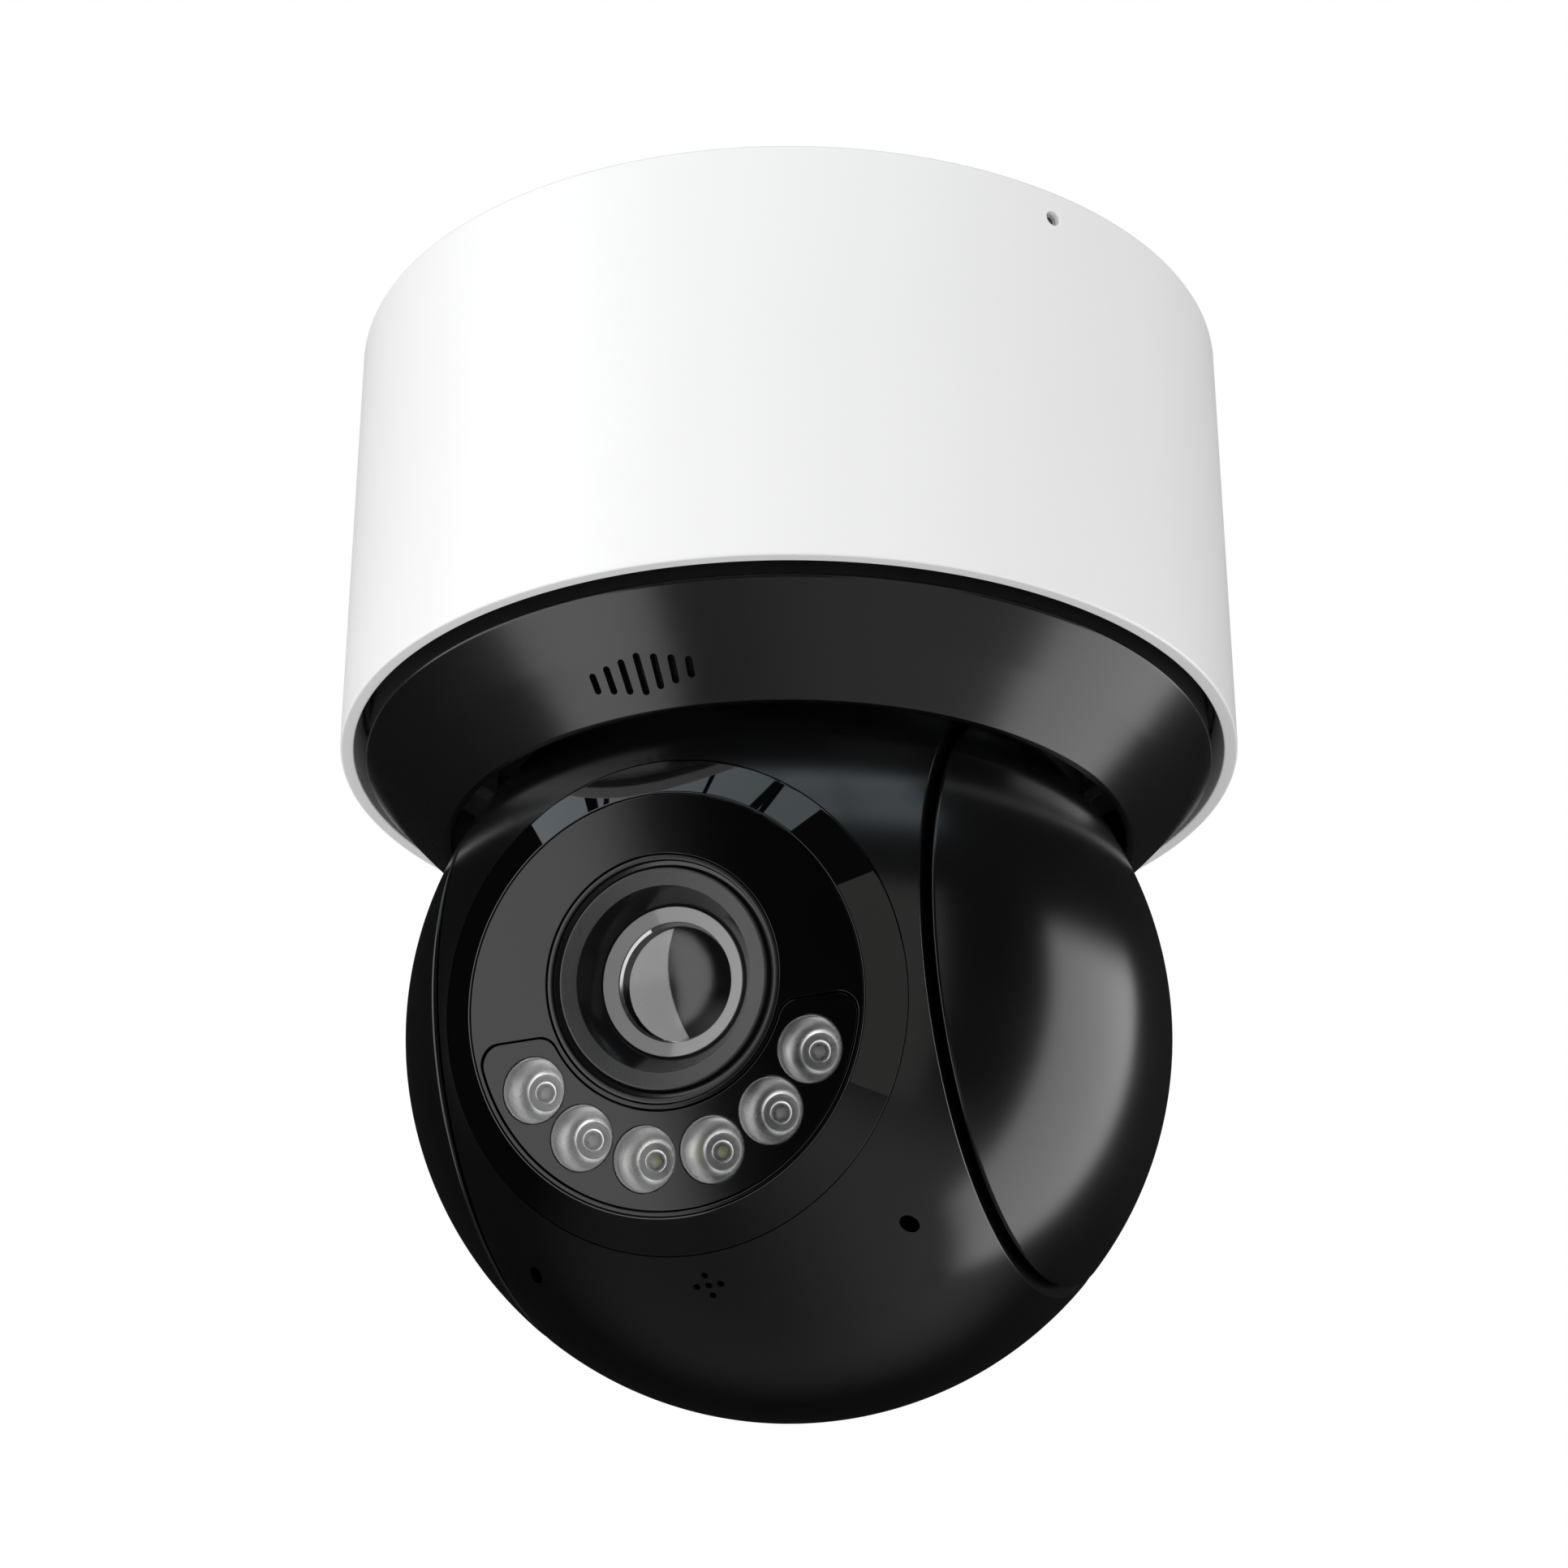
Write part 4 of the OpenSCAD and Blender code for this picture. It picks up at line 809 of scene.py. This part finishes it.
def lamp_lens_outline():
    """Clear cone with a flat front and a pocket over the light source."""
    pocket_r, foot_r = 1.9, 2.9
    return soften([
        (0, LAMP_BACK + 1.4, 0),
        (1.35, LAMP_BACK + 1.1, 0.5),
        (pocket_r, LAMP_BACK, 0.1),
        (foot_r, LAMP_BACK, 0.1),
        (LAMP_R - 0.25, LAMP_FRONT - 2.4, 0.5),
        (LAMP_R, LAMP_FRONT - 1.9, 0.2),
        (LAMP_R, LAMP_FRONT - 0.1, 0.1),
        (0, LAMP_FRONT, 0),
    ])


def lamp_cup_outline():
    """Thin cup round the cone and behind it."""
    cup_r = LAMP_R + 0.45
    return soften([
        (LAMP_R + 0.08, LAMP_FRONT - 1.0, 0),
        (LAMP_R + 0.1, LAMP_FRONT - 2.0, 0.3),
        (3.15, LAMP_BACK + 0.1, 0.2),
        (0, LAMP_BACK - 0.55, 0),
        (0, LAMP_BACK - 0.9, 0),
        (3.6, LAMP_BACK - 0.3, 0),
        (cup_r, LAMP_FRONT - 2.2, 0),
        (cup_r, LAMP_FRONT - 1.0, 0),
    ])


def light_source_outline():
    """Small dome in the cup, under the pocket of the cone."""
    radius = 1.25
    foot = LAMP_BACK - 0.5
    return [(0, foot), (radius, foot)] + arc((0, LAMP_BACK - 0.35), radius, 0, 90, 12)


def make_lamps():
    lens = bmesh.new()
    cups = bmesh.new()
    infrared = bmesh.new()
    white = bmesh.new()
    for i, centre in enumerate(lamp_centres()):
        revolve(lens, lamp_lens_outline(), LAMP_ROUND, centre)
        revolve(cups, lamp_cup_outline(), LAMP_ROUND, centre)
        revolve(white if i in WHITE_LAMPS else infrared, light_source_outline(), HOLE_ROUND, centre)

    lenses = finished("lamp_lens_set", lens, HEAD, 50)
    stand_in(lenses, "lamp_lenses")
    lenses.data.materials.append(glass("frosted_lens", (0.5, 0.5, 0.5), 0.25, 1.49).material)
    to_head = HEAD.inverted()
    for face in lenses.data.polygons:
        at_front = (to_head @ face.center).z > (LAMP_FRONT - 1) * MM
        clear = at_front and face.normal.dot(AHEAD) > 0.7
        face.material_index = 0 if clear else 1

    grey_cup = moulded("lamp_cup", (0.3, 0.3, 0.3), 0.5, 0.4, 0.004)
    beside(finished("lamp_cups", cups, HEAD), "lamp_cover", grey_cup)
    grey_dome = polished("infrared_dome", (0.5, 0.5, 0.5), 0.1)
    beside(finished("infrared_domes", infrared, HEAD), "lamp_lenses", grey_dome)
    yellow_dome = polished("phosphor", (0.62, 0.58, 0.30), 0.2)
    beside(finished("white_domes", white, HEAD), "lamp_lenses", yellow_dome)


# ---------- window: lens ----------

HOOD_FRONT = HOOD_HIGH[2]
HOOD_R = HOOD_HIGH[0]
HOOD_LIP_R = 15.4
FUNNEL_LOW = 51.4
LIGHT_RING_R = 12.4
LENS_R = 10.0
LENS_CURVE = 22.3
LENS_DROP = 2.1
BEVEL_R = 9.6
APERTURE_R = 8.95
CLEAR, STOP, LIGHT_RING, PAINTED_GLINT = range(4)


def make_lens_trim():
    front = HOOD_FRONT - 0.1
    trim = lathe("lens_trim_ring", soften([
        (HOOD_R + FIT, TRIM_LOW[2], 0),
        (TRIM_HIGH[0], TRIM_LOW[2], 0),
        (TRIM_HIGH[0], front, 0.25),
        (TRIM_HIGH[0] - 0.9, front, 0.15),
        (TRIM_HIGH[0] - 1.05, HOOD_FRONT - 0.75, 0.15),
        (HOOD_R + 0.5, HOOD_FRONT - 0.95, 0.15),
        (HOOD_R + FIT, HOOD_FRONT - 1.3, 0.1),
    ]), LENS)
    stand_in(trim, "lens_trim")


def make_lens_hood():
    """Grained ring with a glossy funnel down to the light ring."""
    throat_r = LIGHT_RING_R + 0.15
    hood = lathe("lens_hood_ring", soften([
        (throat_r, HOOD_LOW[2], 0),
        (HOOD_R, HOOD_LOW[2], 0),
        (HOOD_R, HOOD_FRONT, 0.35),
        (HOOD_LIP_R, HOOD_FRONT - 0.5, 0.15),
        (HOOD_LIP_R - 0.15, HOOD_FRONT - 0.75, 0.1),
        (throat_r, FUNNEL_LOW, 0.1),
    ]), LENS, sharp=50)
    stand_in(hood, "lens_hood")
    hood.data.materials.append(polished("funnel_gloss", (0.006, 0.006, 0.006), 0.12).material)
    to_lens = LENS.inverted()
    for face in hood.data.polygons:
        spot = to_lens @ face.center / MM
        if math.hypot(spot.x, spot.y) < HOOD_LIP_R - 0.08:
            face.material_index = 1


def front_lens_outline():
    """Dome, light ring round it, bevel behind it and the nearly flat back with the aperture."""
    top = GLASS_HIGH[2] - LENS_DROP
    edge = math.degrees(math.asin(LENS_R / LENS_CURVE))
    dome = arc((0, top - LENS_CURVE), LENS_CURVE, 90, 90 - edge, 40)
    dome[0] = (0, top)
    rim = dome[-1][1]
    bottom = top - 5.2
    back_curve = 400
    half = math.degrees(math.asin(APERTURE_R / back_curve))
    back = arc((0, bottom + back_curve), back_curve, -90 + half, -90, 24)
    back[-1] = (0, bottom)
    ring = [
        (LIGHT_RING_R - 0.1, rim + 1.0),
        (LIGHT_RING_R, rim + 0.9),
        (LIGHT_RING_R, rim - 2.2),
        (BEVEL_R, back[0][1] - 0.19),
    ]
    return dome + ring + back


def lens_zone(face, spot):
    """Which of the lens's four materials a face has, from its place in the lens frame; the bevel gets
    a painted glint on its lit side and painted shade on the other.
    """
    reach = math.hypot(spot.x, spot.y)
    if face.normal.dot(AHEAD) >= 0 and reach <= LENS_R:
        return CLEAR
    if reach > BEVEL_R:
        return LIGHT_RING
    # Painted glint: only the left, lit part of the bevel ring gets the white metal finish. The rest of
    # the ring keeps the black stop finish, which is painted shade.
    on_lit_side = spot.x + 0.14 * spot.y < -0.26 * reach
    return PAINTED_GLINT if reach > APERTURE_R and on_lit_side else STOP


def make_front_lens():
    body = lathe("front_lens_glass", front_lens_outline(), LENS, weighted=False)
    stand_in(body, "front_lens")
    # The white metal finish is a painted glint for the lit side of the bevel.
    extra = (Finish("lens_stop", (0.0005, 0.0005, 0.0005), 0.15, ior=1.65),
             Finish("lens_edge", (0.19, 0.19, 0.193), 0.12),
             Finish("lens_bevel_painted_glint", (0.95, 0.95, 0.95), 0.12, metallic=1.0))
    for finish in extra:
        finish.vary_roughness(finish.noise(4, 2), 0.1)
        body.data.materials.append(finish.material)
    to_lens = LENS.inverted()
    for face in body.data.polygons:
        face.material_index = lens_zone(face, to_lens @ face.center / MM)


make_housing()
make_skirt()
make_cheek("cheek_right_cap", "cheek_right", RIGHT)
make_cheek("cheek_left_cap", "cheek_left", LEFT)
make_front_shell()
make_rear_shell()
make_window()
make_lamps()
make_lens_trim()
make_lens_hood()
make_front_lens()

# ---------- studio: camera, floor and lights ----------

REACH = 0.85
BOW_RISE = 2
BOW_SPAN = 26
CRISP = (0.001, 0.001, 0.001, 0.001)
WHITE = (1.0, 1.0, 1.0)
WARM_WHITE = (1.0, 0.99, 0.96)
SKY = (0.80, 0.92, 1.0)
PANES = [(-74, -55), (-53, -33.5), (-31.5, -11), (-9, 14.5), (16.5, 41), (43, 73)]
FLOOR_HALF = 6.0
FLOOR_Z = -1.1


def ramp(tree, source, start, end, low=0.0, high=1.0):
    """Smooth change from low to high while the source goes from start to end."""
    node = tree.nodes.new("ShaderNodeMapRange")
    node.interpolation_type = "SMOOTHSTEP"
    for key, value in (("From Min", start), ("From Max", end), ("To Min", low), ("To Max", high)):
        node.inputs[key].default_value = value
    tree.links.new(source, node.inputs["Value"])
    return node.outputs["Result"]


def times(tree, first, second):
    """Product of an output and either another output or a number."""
    node = tree.nodes.new("ShaderNodeMath")
    node.operation = "MULTIPLY"
    tree.links.new(first, node.inputs[0])
    if isinstance(second, float):
        node.inputs[1].default_value = second
    else:
        tree.links.new(second, node.inputs[1])
    return node.outputs["Value"]


def mixed(tree, factor, first, second):
    node = tree.nodes.new("ShaderNodeMixShader")
    tree.links.new(factor, node.inputs["Fac"])
    tree.links.new(first, node.inputs[1])
    tree.links.new(second, node.inputs[2])
    return node.outputs["Shader"]


def axes(tree, source):
    """Outputs for the X, Y and Z of one of the texture coordinates."""
    split = tree.nodes.new("ShaderNodeSeparateXYZ")
    place = tree.nodes.new("ShaderNodeTexCoord").outputs[source]
    tree.links.new(place, split.inputs["Vector"])
    return split.outputs


def toward(azimuth, elevation):
    """Direction from the object; azimuth 0 is -Y and 90 is +X."""
    a, e = math.radians(azimuth), math.radians(elevation)
    return Vector((math.sin(a) * math.cos(e), -math.cos(a) * math.cos(e), math.sin(e)))


def glowing(name, colour, radiance, soft):
    """Emission that fades over the outer part of the panel's own UV square."""
    material = bpy.data.materials.new(name)
    material.use_nodes = True
    tree = material.node_tree
    tree.nodes.clear()
    output = tree.nodes.new("ShaderNodeOutputMaterial")
    emission = tree.nodes.new("ShaderNodeEmission")
    emission.inputs["Color"].default_value = (*colour, 1)
    tree.links.new(emission.outputs["Emission"], output.inputs["Surface"])
    uv = axes(tree, "UV")
    west, east, low, high = soft
    strength = ramp(tree, uv["X"], 0, west)
    for axis, start, end in (("X", 1, 1 - east), ("Y", 0, low), ("Y", 1, 1 - high)):
        strength = times(tree, strength, ramp(tree, uv[axis], start, end))
    tree.links.new(times(tree, strength, radiance), emission.inputs["Strength"])
    return material


def panel(name, spans, colour, radiance, soft=CRISP, bow=0, diffuse=False, steps=12):
    """Glowing panels on a dome round the object. A span is an azimuth range and an elevation
    range in degrees; the west edge bows out by the given angle."""
    bm = bmesh.new()
    uv = bm.loops.layers.uv.new("UVMap")
    for west, east, low, high in spans:
        grid = []
        for i in range(steps + 1):
            grid.append([])
            for j in range(steps + 1):
                rise = low + (high - low) * j / steps
                out = bow * max(0, 1 - ((rise - BOW_RISE) / BOW_SPAN) ** 2)
                azimuth = east + (west - out - east) * (1 - i / steps)
                grid[i].append(bm.verts.new(BALL + REACH * toward(azimuth, rise)))
        for i in range(steps):
            for j in range(steps):
                corners = ((i, j), (i + 1, j), (i + 1, j + 1), (i, j + 1))
                face = bm.faces.new([grid[a][b] for a, b in corners])
                for loop, (a, b) in zip(face.loops, corners):
                    loop[uv].uv = (a / steps, b / steps)
    mesh = bpy.data.meshes.new(name)
    bm.to_mesh(mesh)
    bm.free()
    mesh.materials.append(glowing(name, colour, radiance, soft))
    light = bpy.data.objects.new(name, mesh)
    scene.collection.objects.link(light)
    light.visible_camera = False
    light.visible_diffuse = diffuse
    light.visible_glossy = not diffuse
    light.visible_transmission = not diffuse


def make_lights():
    """Large soft panels seen in the black gloss, a row of window panes above, and the key light."""
    panel("front_softbox", [(-64, -19.6, -54, 42)], WHITE, 2.3, (0.08, 0.03, 0.04, 0.04),
          bow=22, steps=24)
    panel("side_softbox", [(99, 142, -55, 25)], WHITE, 3.0, (0.08, 0.12, 0.14, 0.1))
    panel("low_card", [(36, 66, -34, 24)], WARM_WHITE, 0.55)
    rows = [(*pane, 42, 50) for pane in PANES] + [(*pane, 51.5, 66) for pane in PANES]
    panel("window_panes", rows, SKY, 1.6)
    panel("key", [(-70, 10, -40, 40)], WHITE, 1.5, diffuse=True)


def make_world():
    """White for the camera and for diffuse light; gloss sees a dark room with a pale floor."""
    world = bpy.data.worlds.new("studio")
    scene.world = world
    world.use_nodes = True
    tree = world.node_tree
    tree.nodes.clear()
    white = tree.nodes.new("ShaderNodeBackground")
    white.inputs["Color"].default_value = (1, 1, 1, 1)
    room = tree.nodes.new("ShaderNodeBackground")
    ray = axes(tree, "Generated")
    below = ramp(tree, ray["Z"], -0.35, -0.8, 0.03, 0.5)
    right = ramp(tree, ray["X"], -0.3, 0.5, 0.3, 1.0)
    tree.links.new(times(tree, below, right), room.inputs["Color"])

    path = tree.nodes.new("ShaderNodeLightPath").outputs
    lit = white.outputs["Background"]
    reflected = mixed(tree, path["Is Glossy Ray"], lit, room.outputs["Background"])
    seen = mixed(tree, path["Is Camera Ray"], reflected, lit)
    output = tree.nodes.new("ShaderNodeOutputWorld")
    tree.links.new(seen, output.inputs["Surface"])


def make_floor():
    mesh = bpy.data.meshes.new("floor")
    corners = [(x, y, FLOOR_Z) for x, y in square(-FLOOR_HALF, FLOOR_HALF, -FLOOR_HALF, FLOOR_HALF)]
    mesh.from_pydata(corners, [], [(0, 1, 2, 3)])
    floor = bpy.data.objects.new("floor", mesh)
    scene.collection.objects.link(floor)
    paint(floor, moulded("floor_paper", (0.92, 0.92, 0.92), 0.8, 1.5, 0.01, 400, 0.004))
    floor.visible_glossy = False


def make_camera():
    """Long lens, held level, below and to the right of the front of the object."""
    data = bpy.data.cameras.new("camera")
    data.lens = 105.907
    data.sensor_width = 36
    data.dof.use_dof = False
    camera = bpy.data.objects.new("camera", data)
    scene.collection.objects.link(camera)
    ahead = Vector((-0.3385, 0.8378, 0.4283)).normalized()
    side = Vector((0.9272, 0.3746, 0)).normalized()
    position = Vector((0.27798, -0.69036, -0.43643))
    camera.matrix_world = placed(side, side.cross(ahead), -ahead, position)
    scene.camera = camera


make_lights()
make_world()
make_floor()
make_camera()
scene.view_settings.view_transform = "Standard"
